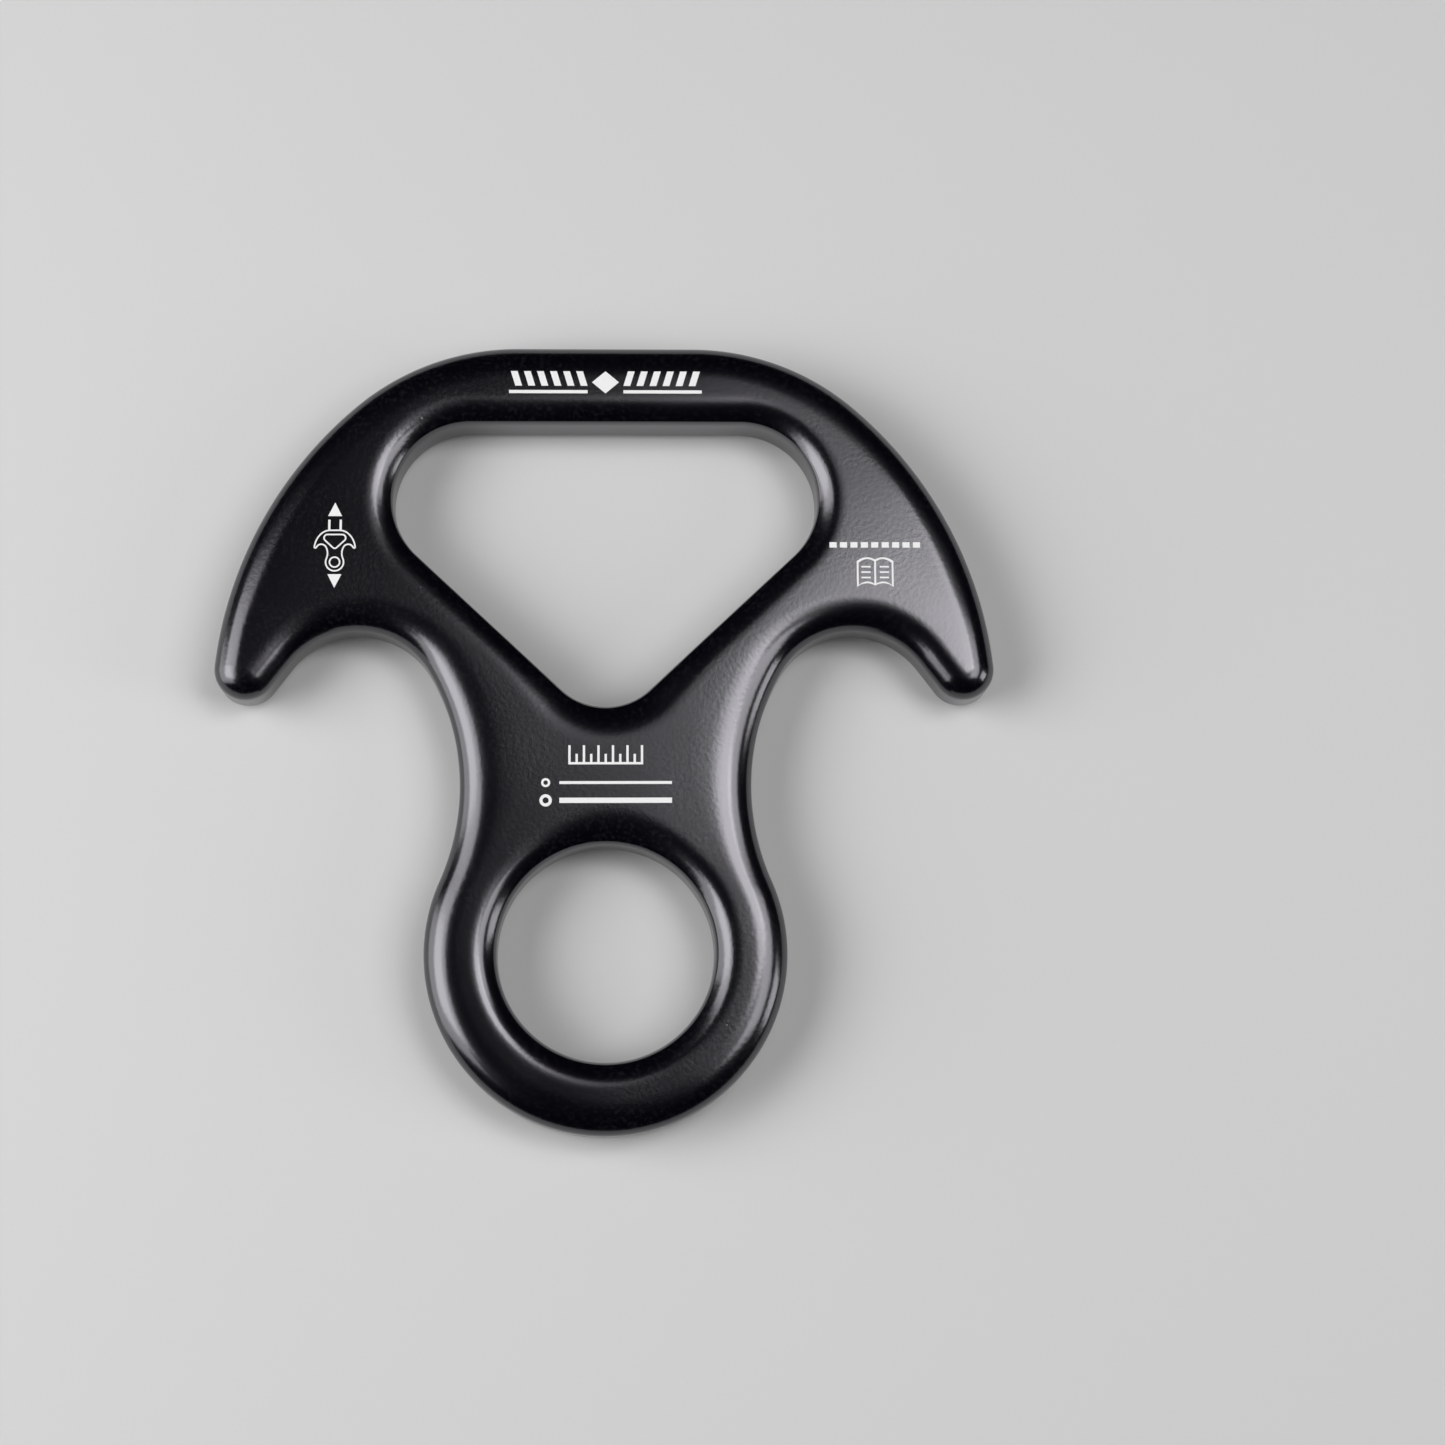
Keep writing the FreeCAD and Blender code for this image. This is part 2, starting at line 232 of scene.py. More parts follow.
@dataclass(frozen=True)
class Crown:
    """Rounded edge between the straight wall and the flat face.

    Attributes:
        width: plan width from the wall to the flat.
        top: height of the flat above the middle of the plate.
        wall: height of the wall's edge above the middle of the plate.
    """

    width: float
    top: float
    wall: float

    def height(self, depths: np.ndarray) -> np.ndarray:
        """Return the surface's height at each depth, the flat's own beyond the crown."""
        raise NotImplementedError

    def depths(self, widths: np.ndarray) -> np.ndarray:
        """Return the depths at which the curve is sampled, from the wall to the flat.

        Args:
            widths: the crown's width at some points of its rim.

        Returns:
            A row of depths for each point. One column lies at one height all along the rim.
        """
        raise NotImplementedError

    def levels(self) -> np.ndarray:
        """Return the heights of those columns."""
        return self.height(self.depths(np.array([self.width]))[0])


@dataclass(frozen=True)
class ForgedCrown(Crown):
    """Crown of a forged edge, round from the upright wall to the flat.

    Its height at a depth d is top - (top - wall) * (1 - sqrt(1 - s ** power)), with s = 1 - d / width
    from 0 to 1. Where the crown is wider than usual, the power grows as the width does: beside the
    wall the curve stays the same, and it runs out longer.

    Attributes:
        power: how softly the curve runs out into the flat.
        rows: number of steps across the curve.
    """

    power: float
    rows: int = 20

    def height(self, depths: np.ndarray) -> np.ndarray:
        """Return the surface's height at each depth, the flat's own beyond the crown."""
        s = np.clip(1.0 - depths / self.width, 0.0, 1.0)
        return self.top - (self.top - self.wall) * (1.0 - np.sqrt(1.0 - s**self.power))

    def depths(self, widths: np.ndarray) -> np.ndarray:
        """Place the samples at even turns t, at the depths width * (1 - cos(t) ** (2 / power)).

        Args:
            widths: the crown's width at some points of its rim.

        Returns:
            A row of depths for each point.
        """
        powers = self.power * np.maximum(widths / self.width, 1.0)
        turns = np.linspace(0.0, QUARTER_TURN, self.rows + 1)
        shares = np.clip(np.cos(turns), 0.0, 1.0) ** (2.0 / powers[:, None])
        return widths[:, None] * (1.0 - shares)


@dataclass(frozen=True)
class PunchedCrown(Crown):
    """Crown of a punched edge: a long slope and a small roll on to the punched wall.

    The long slope's rise falls from its steepest at the wall to nothing at the flat as q ** 3 * (4 - 3 *
    q), with q = 1 - d / width. So at a depth d the height is top - width * steepest * q ** 4 * (1 - 0.6 *
    q) - roll_drop * (1 - sqrt(1 - s ** 2)), with s = 1 - d / roll. Both q and s stay from 0 to 1.

    Attributes:
        steepest: rise of the long slope beside the wall for each unit of depth.
        roll: plan width of the roll on to the wall.
        slope_rows: number of steps across the long slope.
        roll_rows: number of steps across the roll.
    """

    steepest: float
    roll: float
    slope_rows: int = 14
    roll_rows: int = 8

    def slope_drop(self, depths: np.ndarray) -> np.ndarray:
        """Return how far the long slope lies below the flat at each depth."""
        q = np.clip(1.0 - depths / self.width, 0.0, 1.0)
        return self.width * self.steepest * q**4 * (1.0 - 0.6 * q)

    def height(self, depths: np.ndarray) -> np.ndarray:
        """Take both drops off the flat's height.

        Args:
            depths: depths into the metal.

        Returns:
            The surface's height at each depth, the flat's own beyond the crown.
        """
        s = np.clip(1.0 - depths / self.roll, 0.0, 1.0)
        roll_drop = self.top - self.wall - self.slope_drop(np.zeros(1))
        return self.top - self.slope_drop(depths) - roll_drop * (1.0 - np.sqrt(1.0 - s**2))

    def depths(self, widths: np.ndarray) -> np.ndarray:
        """Place the samples at even turns over the roll, then at even steps over the slope.

        Args:
            widths: the crown's width at some points of its rim.

        Returns:
            A row of depths for each point.
        """
        turns = np.linspace(0.0, QUARTER_TURN, self.roll_rows, endpoint=False)
        slope = np.linspace(self.roll, self.width, self.slope_rows + 1)
        usual = np.concatenate([self.roll * (1.0 - np.cos(turns)), slope])
        return widths[:, None] / self.width * usual


@dataclass(frozen=True)
class OtherWidth:
    """Part of a rim where the crown has another width.

    Attributes:
        centre: middle of that part.
        reach: how far from there the other width holds.
        fade: how much further on the crown has its usual width again.
        width: the other width.
    """

    centre: np.ndarray
    reach: float
    fade: float
    width: float

    def added(self, points: np.ndarray, usual: float) -> np.ndarray:
        """Return how much wider than usual the crown is at each point of the rim.

        That is (width - usual) * t ** 2 * (3 - 2 * t), where t falls from 1 at the reach to 0 at the
        end of the fade.

        Args:
            points: points of the rim.
            usual: the crown's usual width.

        Returns:
            The added widths.
        """
        away = np.linalg.norm(points - self.centre, axis=1) - self.reach
        t = np.clip(1.0 - away / self.fade, 0.0, 1.0)
        return (self.width - usual) * t**2 * (3.0 - 2.0 * t)

    def reflected(self) -> "OtherWidth":
        """Return the mirror image across the centre line."""
        return replace(self, centre=mirrored(self.centre))


@dataclass(frozen=True)
class Rim:
    """Closed outline with its rounded edge.

    Attributes:
        stretches: its arcs and straights in order, travelled with the metal on the right hand.
        crown: the rounded edge along it.
        other_widths: where that edge is narrower or wider than usual.
    """

    stretches: tuple[Arc | Straight, ...]
    crown: Crown
    other_widths: tuple[OtherWidth, ...] = ()

    def trace(self, fineness: Fineness) -> tuple[np.ndarray, np.ndarray]:
        """Trace the whole outline.

        Args:
            fineness: how close the points lie.

        Returns:
            The points and the unit normals into the metal.
        """
        traces = [stretch.trace(fineness) for stretch in self.stretches]
        return tuple(np.concatenate(parts) for parts in zip(*traces))

    def widths(self, points: np.ndarray) -> np.ndarray:
        """Add up the crown's usual width and what each other width adds to it.

        Args:
            points: points of the outline.

        Returns:
            The crown's width at each of them.
        """
        widths = np.full(len(points), self.crown.width)
        for other in self.other_widths:
            widths += other.added(points, self.crown.width)
        return widths

    def depth(self, places: np.ndarray) -> np.ndarray:
        """Measure how deep points lie in the metal behind the stretch that is nearest to them.

        Args:
            places: plan points.

        Returns:
            Each point's depth, negative outside the outline.
        """
        depths = np.stack([stretch.depth(places) for stretch in self.stretches])
        nearest = np.abs(depths).argmin(axis=0)
        return depths[nearest, np.arange(len(places))]


@dataclass(frozen=True)
class PlateShape:
    """Outline of the forging, from its driving sizes.

    Attributes:
        thickness: plate thickness between its two flats.
        wall_height: height of the straight wall between the two rounded edges.
        eye_radius: radius of the carabiner eye.
        ring_width: width of the ring round it.
        web_length: metal between the eye and the rope opening.
        waist_radius: radius of the concave waist.
        opening_width: width of the rope opening across its top.
        opening_height: height of the rope opening.
        corner_radius: radius of its two top corners.
        point_radius: radius of its lower point.
        bar_width: width of the top bar.
        shoulder_radius: radius of the bend from the bar to the horn.
        shoulder_drop: how far that bend falls.
        horn_edge_radius: radius of the horn's long outer edge.
        arm_width: metal between the opening and the hook.
        hook_radius: radius of the hook that catches the rope.
        hook_spacing: distance between the two hooks' centres.
        tip_radius: radius of the horn's tip.
        tip_rise: height of the tip's centre above the hook's.
        inner_run: length of the straight between the tip and the hook.
        outer_crown_width: plan width of the outer outline's forged crown.
        outer_crown_power: how softly it runs out into the flat.
        tip_crown_share: its width at a horn's tip as a share of the tip's radius.
        tip_crown_fade: how far behind the tip it has its usual width again.
        waist_crown_width: its width at the waist, where it runs out longest.
        waist_crown_lift: height of that place above the innermost point of the waist.
        waist_crown_fade: how far from there it has its usual width again.
        hole_crown_width: plan width of the punched crown of both holes.
        point_crown_width: its width at the opening's point.
        point_crown_fade: how far from there it has its usual width again.
        eye_top_crown_width: its width at the eye's top.
        eye_top_crown_fade: how far from there it has its usual width again.
        opening_crown_steepest: rise of the rope opening's long slope beside the wall.
        opening_crown_roll: plan width of its roll on to the wall.
        eye_crown_steepest: rise of the eye's long slope beside the wall.
        eye_crown_roll: plan width of its roll on to the wall.
    """

    thickness: float = 14.0 * MM
    wall_height: float = 6.0 * MM
    eye_radius: float = 20.0 * MM
    ring_width: float = 13.4 * MM
    web_length: float = 25.8 * MM
    waist_radius: float = 43.6 * MM
    opening_width: float = 79.4 * MM
    opening_height: float = 53.8 * MM
    corner_radius: float = 14.6 * MM
    point_radius: float = 11.9 * MM
    bar_width: float = 14.9 * MM
    shoulder_radius: float = 46.0 * MM
    shoulder_drop: float = 11.3 * MM
    horn_edge_radius: float = 76.0 * MM
    arm_width: float = 13.7 * MM
    hook_radius: float = 15.6 * MM
    hook_spacing: float = 92.4 * MM
    tip_radius: float = 5.8 * MM
    tip_rise: float = 8.4 * MM
    inner_run: float = 5.7 * MM
    outer_crown_width: float = 6.48 * MM
    outer_crown_power: float = 2.26
    tip_crown_share: float = 0.97
    tip_crown_fade: float = 14.0 * MM
    waist_crown_width: float = 11.8 * MM
    waist_crown_lift: float = 6.4 * MM
    waist_crown_fade: float = 25.0 * MM
    hole_crown_width: float = 6.2 * MM
    point_crown_width: float = 9.1 * MM
    point_crown_fade: float = 22.5 * MM
    eye_top_crown_width: float = 8.4 * MM
    eye_top_crown_fade: float = 16.0 * MM
    opening_crown_steepest: float = 0.76
    opening_crown_roll: float = 0.45 * MM
    eye_crown_steepest: float = 0.9
    eye_crown_roll: float = 0.65 * MM

    @cached_property
    def outer_crown(self) -> ForgedCrown:
        """Return the outer outline's crown."""
        half, wall = self.thickness / 2, self.wall_height / 2
        return ForgedCrown(self.outer_crown_width, half, wall, self.outer_crown_power)

    def hole_crown(self, steepest: float, roll: float) -> PunchedCrown:
        """Return the crown of a punched hole."""
        half, wall = self.thickness / 2, self.wall_height / 2
        return PunchedCrown(self.hole_crown_width, half, wall, steepest, roll)

    @cached_property
    def corner_centre(self) -> np.ndarray:
        """Return the centre of the opening's right top corner."""
        top = self.eye_radius + self.web_length + self.opening_height
        return np.array([self.opening_width / 2 - self.corner_radius, top - self.corner_radius])

    @cached_property
    def point_centre(self) -> np.ndarray:
        """Return the centre of the opening's lower point."""
        return np.array([0.0, self.eye_radius + self.web_length + self.point_radius])

    @cached_property
    def leg_angle(self) -> float:
        """Find the right leg's normal from the outer tangent of the point's and the corner's circles.

        Returns:
            The normal's angle, in radians from +X.
        """
        step = self.corner_centre - self.point_centre
        turn = math.acos((self.point_radius - self.corner_radius) / np.linalg.norm(step))
        return angle_of(step) - turn

    @cached_property
    def hook_centre(self) -> np.ndarray:
        """Place the right hook, one arm's width and its radius outside the leg.

        Returns:
            The hook's centre.
        """
        normal = unit(self.leg_angle)
        reach = normal @ self.point_centre + self.point_radius + self.arm_width + self.hook_radius
        x = self.hook_spacing / 2
        return np.array([x, (reach - normal[0] * x) / normal[1]])

    @cached_property
    def outer_rim(self) -> Rim:
        """Join the outer outline: bar, right side, ring and left side, run clockwise.

        The straight between tip and hook is an inner tangent of their circles. The horn's edge touches
        the shoulder's and the tip's circles, which lie within its own. The waist's circle touches the
        ring from outside, and the hook's, which lies within it.

        Returns:
            The outline.
        """
        hook = self.hook_centre
        tip_reach = math.hypot(self.tip_radius + self.hook_radius, self.inner_run)
        tip_angle = math.asin(self.tip_rise / tip_reach)
        tip = hook + tip_reach * unit(tip_angle)
        inner_angle = tip_angle + math.pi + math.acos((self.tip_radius + self.hook_radius) / tip_reach)
        inner = unit(inner_angle)

        bar_top = self.eye_radius + self.web_length + self.opening_height + self.bar_width
        shoulder_end = QUARTER_TURN - math.acos(1.0 - self.shoulder_drop / self.shoulder_radius)
        shift = (self.shoulder_radius - self.horn_edge_radius) * unit(shoulder_end)
        edge_y = bar_top - self.shoulder_radius + shift[1]
        edge_reach = self.horn_edge_radius - self.tip_radius
        edge_x = tip[0] - math.sqrt(edge_reach**2 - (tip[1] - edge_y) ** 2)
        edge = np.array([edge_x, edge_y])
        shoulder = edge - shift
        edge_end = angle_of(tip - edge)

        ring = self.eye_radius + self.ring_width
        waist_reach = ring + self.waist_radius
        hook_reach = self.waist_radius - self.hook_radius
        squares = waist_reach**2 + hook @ hook - hook_reach**2
        waist_turn = math.acos(squares / (2.0 * waist_reach * np.linalg.norm(hook)))
        waist_angle = angle_of(hook) - waist_turn
        waist = waist_reach * unit(waist_angle)
        hook_end = angle_of(hook - waist)

        top_right = shoulder + np.array([0.0, self.shoulder_radius])
        within, beyond = MetalSide.WITHIN, MetalSide.BEYOND
        right = (
            Arc(shoulder, self.shoulder_radius, QUARTER_TURN, shoulder_end, within),
            Arc(edge, self.horn_edge_radius, shoulder_end, edge_end, within),
            Arc(tip, self.tip_radius, edge_end, inner_angle - 2.0 * math.pi, within),
            Straight(tip + self.tip_radius * inner, hook - self.hook_radius * inner),
            Arc(hook, self.hook_radius, inner_angle - math.pi, hook_end, beyond),
            Arc(waist, self.waist_radius, hook_end, waist_angle + math.pi, beyond),
        )
        bar = Straight(mirrored(top_right), top_right)
        bottom = Arc(np.zeros(2), ring, waist_angle, -math.pi - waist_angle, within)
        left = tuple(stretch.reflected() for stretch in reversed(right))
        tip_width = self.tip_crown_share * self.tip_radius
        slim = OtherWidth(tip, self.tip_radius, self.tip_crown_fade, tip_width)
        lift = math.asin(self.waist_crown_lift / self.waist_radius)
        place = waist + self.waist_radius * unit(math.pi - lift)
        wide = OtherWidth(place, 0.0, self.waist_crown_fade, self.waist_crown_width)
        other_widths = (slim, slim.reflected(), wide, wide.reflected())
        return Rim((bar,) + right + (bottom,) + left, self.outer_crown, other_widths)

    @cached_property
    def opening_rim(self) -> Rim:
        """Join the rope opening's outline, run anticlockwise: top bar, left leg, point and right leg.

        Returns:
            The outline.
        """
        corner, point, beyond = self.corner_centre, self.point_centre, MetalSide.BEYOND
        normal = unit(self.leg_angle)
        top = corner + np.array([0.0, self.corner_radius])
        leg = Straight(point + self.point_radius * normal, corner + self.corner_radius * normal)
        bend = Arc(corner, self.corner_radius, self.leg_angle, QUARTER_TURN, beyond)
        lowest = Arc(point, self.point_radius, -math.pi - self.leg_angle, self.leg_angle, beyond)
        crossing = Straight(top, mirrored(top))
        stretches = (crossing, bend.reflected(), leg.reflected(), lowest, leg, bend)
        crown = self.hole_crown(self.opening_crown_steepest, self.opening_crown_roll)
        place = point - np.array([0.0, self.point_radius])
        wide = OtherWidth(place, 0.0, self.point_crown_fade, self.point_crown_width)
        return Rim(stretches, crown, (wide,))

    @cached_property
    def eye_rim(self) -> Rim:
        """Make the carabiner eye's outline, run anticlockwise.

        Returns:
            The outline.
        """
        circle = Arc(np.zeros(2), self.eye_radius, -math.pi, math.pi, MetalSide.BEYOND)
        crown = self.hole_crown(self.eye_crown_steepest, self.eye_crown_roll)
        place = np.array([0.0, self.eye_radius])
        wide = OtherWidth(place, 0.0, self.eye_top_crown_fade, self.eye_top_crown_width)
        return Rim((circle,), crown, (wide,))

    @property
    def rims(self) -> tuple[Rim, ...]:
        """Return the three closed outlines."""
        return self.outer_rim, self.opening_rim, self.eye_rim

    def height(self, places: np.ndarray) -> np.ndarray:
        """Return the marked face's height under each point: the lowest that any crown allows."""
        return np.min([rim.crown.height(rim.depth(places)) for rim in self.rims], axis=0)


class MeshDraft:
    """Vertices and faces gathered as arrays, then made one mesh object."""

    def __init__(self) -> None:
        """Start with nothing."""
        self._places: list[np.ndarray] = []
        self._faces: list[np.ndarray] = []
        self._count = 0

    def add_places(self, places: np.ndarray) -> int:
        """Add vertices.

        Args:
            places: an array of points, three coordinates each.

        Returns:
            The index of the first of them.
        """
        first = self._count
        self._places.append(places.reshape(-1, 3))
        self._count += len(self._places[-1])
        return first

    def add_faces(self, faces: np.ndarray) -> None:
        """Add faces that all have as many corners as the array has columns."""
        self._faces.append(faces.reshape(-1, faces.shape[-1]))

    def make(self, name: str, sharp_angle: float) -> bpy.types.Object:
        """Make the object, shaded smooth except over sharp edges.

        Args:
            name: the piece's name.
            sharp_angle: edges that turn by more than this are crisp, in radians.

        Returns:
            The new object, at the origin.
        """
        mesh = bpy.data.meshes.new(name)
        faces = [face for block in self._faces for face in block.tolist()]
        mesh.from_pydata(np.concatenate(self._places), [], faces)
        mesh.shade_smooth()
        mesh.set_sharp_from_angle(angle=sharp_angle)
        mesh.update()
        piece = bpy.data.objects.new(name, mesh)
        bpy.context.scene.collection.objects.link(piece)
        return piece


def grid_faces(along: int, across: int, first: int, closed: bool) -> np.ndarray:
    """Return the four-cornered faces of a grid of vertices that is stored row by row.

    Args:
        along: number of vertices in the first direction.
        across: number of vertices in the second direction.
        first: index of the grid's first vertex.
        closed: whether the first direction closes on itself.

    Returns:
        Corner indices. A face points along the second direction crossed with the first.
    """
    steps = along if closed else along - 1
    here, row = np.meshgrid(np.arange(steps), np.arange(across - 1), indexing="ij")
    ahead = (here + 1) % along
    near, far = here * across + row, ahead * across + row
    return first + np.stack([near, near + 1, far + 1, far], axis=-1).reshape(-1, 4)


def enclosed(places: np.ndarray, loops: tuple[np.ndarray, ...]) -> np.ndarray:
    """Tell which places lie in the metal: a line from there towards +X crosses an odd number of edges.

    Args:
        places: plan points.
        loops: closed outlines, each an array of plan points.

    Returns:
        True for each place inside.
    """
    x, y = places[:, :1], places[:, 1:]
    crossings = np.zeros(len(places), dtype=int)
    for loop in loops:
        ahead = np.roll(loop, -1, axis=0)
        spans = (loop[:, 1] > y) != (ahead[:, 1] > y)
        rise = np.where(loop[:, 1] == ahead[:, 1], 1.0, ahead[:, 1] - loop[:, 1])
        meets = loop[:, 0] + (y - loop[:, 1]) / rise * (ahead[:, 0] - loop[:, 0])
        crossings += (spans & (x < meets)).sum(axis=1)
    return crossings % 2 == 1


@dataclass(frozen=True)
class ForgedBody:
    """The whole forging: walls and crowns carried along three rims, and two flats between them.

    Attributes:
        shape: its outline.
        fineness: how closely the rims are sampled.
        wall_rows: number of steps up the straight wall.
        sharp_angle: edges that turn by more than this are crisp, in radians.
    """

    shape: PlateShape
    fineness: Fineness = Fineness()
    wall_rows: int = 3
    sharp_angle: float = math.radians(16.0)

    def section(self, rim: Rim, points: np.ndarray) -> tuple[np.ndarray, np.ndarray]:
        """Return a rim's section at each of its points, from the back flat to the front flat.

        Args:
            rim: the rim.
            points: its points.

        Returns:
            A row of depths for each point, and the heights that all rows share.
        """
        crown = rim.crown
        depths, levels = crown.depths(rim.widths(points)), crown.levels()
        wall = np.linspace(-crown.wall, crown.wall, self.wall_rows + 1)[1:-1]
        all_depths = [depths[:, ::-1], np.zeros((len(points), len(wall))), depths]
        return np.concatenate(all_depths, axis=1), np.concatenate([-levels[::-1], wall, levels])

    def build(self) -> bpy.types.Object:
        """Carry each rim's section along it, then close both flats with a triangulation.

        A rim vertex is (p + depth * n, height), with p on the rim and n its normal into the metal.

        Returns:
            The closed body.
        """
        draft = MeshDraft()
        borders = []
        for rim in self.shape.rims:
            points, inward = rim.trace(self.fineness)
            depths, heights = self.section(rim, points)
            plan = points[:, None, :] + depths[:, :, None] * inward[:, None, :]
            level = np.broadcast_to(heights[None, :, None], plan.shape[:2] + (1,))
            first = draft.add_places(np.concatenate([plan, level], axis=2))
            draft.add_faces(grid_faces(len(points), len(heights), first, closed=True))
            back_row = first + np.arange(len(points)) * len(heights)
            borders.append((back_row, back_row + len(heights) - 1, plan[:, -1]))
        back_rows, front_rows, loops = zip(*borders)
        flat = self.flat_triangles(loops)
        draft.add_faces(np.concatenate(front_rows)[flat])
        draft.add_faces(np.concatenate(back_rows)[flat[:, ::-1]])
        return draft.make("forged_body", self.sharp_angle)

    def flat_triangles(self, loops: tuple[np.ndarray, ...]) -> np.ndarray:
        """Triangulate the plane region between closed loops of points.

        Args:
            loops: the flat's borders, each an array of plan points.

        Returns:
            Anticlockwise triangles, as indices into the loops' points one after another.
        """
        points = np.concatenate(loops)
        starts = np.cumsum([0] + [len(loop) for loop in loops])
        edges = []
        for start, loop in zip(starts, loops):
            ring = start + np.arange(len(loop))
            edges.extend(np.stack([ring, np.roll(ring, -1)], axis=1).tolist())
        scaled = [Vector(place) for place in (points / MM).tolist()]
        found = delaunay_2d_cdt(scaled, edges, [], 0, SAME_POINT_MM)
        original = np.array([ids[0] for ids in found[3]])
        triangles = original[np.array(found[2])]
        return triangles[enclosed(points[triangles].mean(axis=1), loops)]


@dataclass(frozen=True)
class InkFilm:
    """Film of ink that follows the surface under it.

    Attributes:
        shape: the forging that carries it.
        film: how far the ink stands above the surface.
        sink: how far its underside reaches into the surface.
        step: longest distance between neighbouring points.
        ring_steps: number of steps round a ring.
        sharp_angle: edges that turn by more than this are crisp, in radians.
    """

    shape: PlateShape
    film: float = 0.04 * MM
    sink: float = 0.06 * MM
    step: float = 0.5 * MM
    ring_steps: int = 48
    sharp_angle: float = math.radians(40.0)

    def add(self, draft: MeshDraft, plan: np.ndarray, closed: bool = False) -> None:
        """Add one closed film over a grid of plan points.

        The top is the surface's height plus the film, and the underside is its height less the sink.

        Args:
            draft: the mesh that takes it.
            plan: grid of plan points that turns anticlockwise from its first direction to its second.
            closed: whether the first direction closes on itself.
        """
        along, across = plan.shape[:2]
        level = self.shape.height(plan.reshape(-1, 2)).reshape(along, across, 1)
        top = draft.add_places(np.concatenate([plan, level + self.film], axis=2))
        under = draft.add_places(np.concatenate([plan, level - self.sink], axis=2))
        draft.add_faces(grid_faces(along, across, top, closed)[:, ::-1])
        draft.add_faces(grid_faces(along, across, under, closed))
        steps = np.arange(along if closed else along - 1) * across
        ahead = (steps + across) % (along * across)
        sides = [(steps, ahead), (ahead + across - 1, steps + across - 1)]
        if not closed:
            steps = np.arange(across - 1)
            last = (along - 1) * across + steps
            sides += [(steps + 1, steps), (last, last + 1)]
        for here, there in sides:
            draft.add_faces(np.stack([under + here, under + there, top + there, top + here], axis=1))

    def quad(self, draft: MeshDraft, corners: list[tuple[float, float]]) -> None:
        """Add a film with four straight sides, its plan points blended between the corners.

        Args:
            draft: the mesh that takes it.
            corners: four plan points, anticlockwise.
        """
        a, b, c, d = (np.array(corner) for corner in corners)
        along = max(np.linalg.norm(b - a), np.linalg.norm(c - d))
        across = max(np.linalg.norm(d - a), np.linalg.norm(c - b))
        u = np.linspace(0.0, 1.0, max(2, math.ceil(along / self.step) + 1))[:, None, None]
        v = np.linspace(0.0, 1.0, max(2, math.ceil(across / self.step) + 1))[None, :, None]
        self.add(draft, (1 - u) * (1 - v) * a + u * (1 - v) * b + u * v * c + (1 - u) * v * d)

    def bar(self, draft: MeshDraft, low: tuple[float, float], high: tuple[float, float]) -> None:
        """Add an upright rectangle between its lower left and upper right corners."""
        self.quad(draft, [low, (high[0], low[1]), high, (low[0], high[1])])

    def triangle(self, draft: MeshDraft, base: tuple[float, float], half: float, tip: float) -> None:
        """Add a triangle with a level base.

        Args:
            draft: the mesh that takes it.
            base: middle of its base.
            half: half the base's length.
            tip: height of its tip in plan.
        """
        x, y = base
        corners = [(x - half, y), (x + half, y), (x, tip), (x - half / 2, (y + tip) / 2)]
        self.quad(draft, corners if tip > y else corners[::-1])

    def ring(self, draft: MeshDraft, centre: tuple[float, float], radius: float, line: float) -> None:
        """Add a ring: centre + r * (cos t, sin t), with r from radius - line to radius.

        Args:
            draft: the mesh that takes it.
            centre: its centre in plan.
            radius: its outer radius.
            line: width of its line.
        """
        turns = np.linspace(0.0, -2.0 * math.pi, self.ring_steps, endpoint=False)
        spokes = np.stack([np.cos(turns), np.sin(turns)], axis=1)
        radii = np.array([radius - line, radius])
        self.add(draft, np.array(centre) + spokes[:, None, :] * radii[None, :, None], closed=True)


@dataclass(frozen=True)
class Mark:
    """A printed mark, as large as the solid that it stands for.

    Attributes:
        node: the solid's name.
        ink: the film that draws it.
    """

    node: str
    ink: InkFilm

    @property
    def low(self) -> np.ndarray:
        """Return the plan point of the solid's lowest corner."""
        return np.array(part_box(self.node)[0])[:2]

    @property
    def high(self) -> np.ndarray:
        """Return the plan point of the solid's highest corner."""
        return np.array(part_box(self.node)[1])[:2]

    @property
    def middle(self) -> np.ndarray:
        """Return the middle of the solid in plan."""
        return (self.low + self.high) / 2

    def draw(self, draft: MeshDraft) -> None:
        """Add the mark's films to a mesh."""
        raise NotImplementedError

    def build(self) -> bpy.types.Object:
        """Draw the mark on a mesh of its own.

        Returns:
            The mark as one object, named after the solid.
        """
        draft = MeshDraft()
        self.draw(draft)
        return draft.make(self.node.replace("_mark", "_print"), self.ink.sharp_angle)


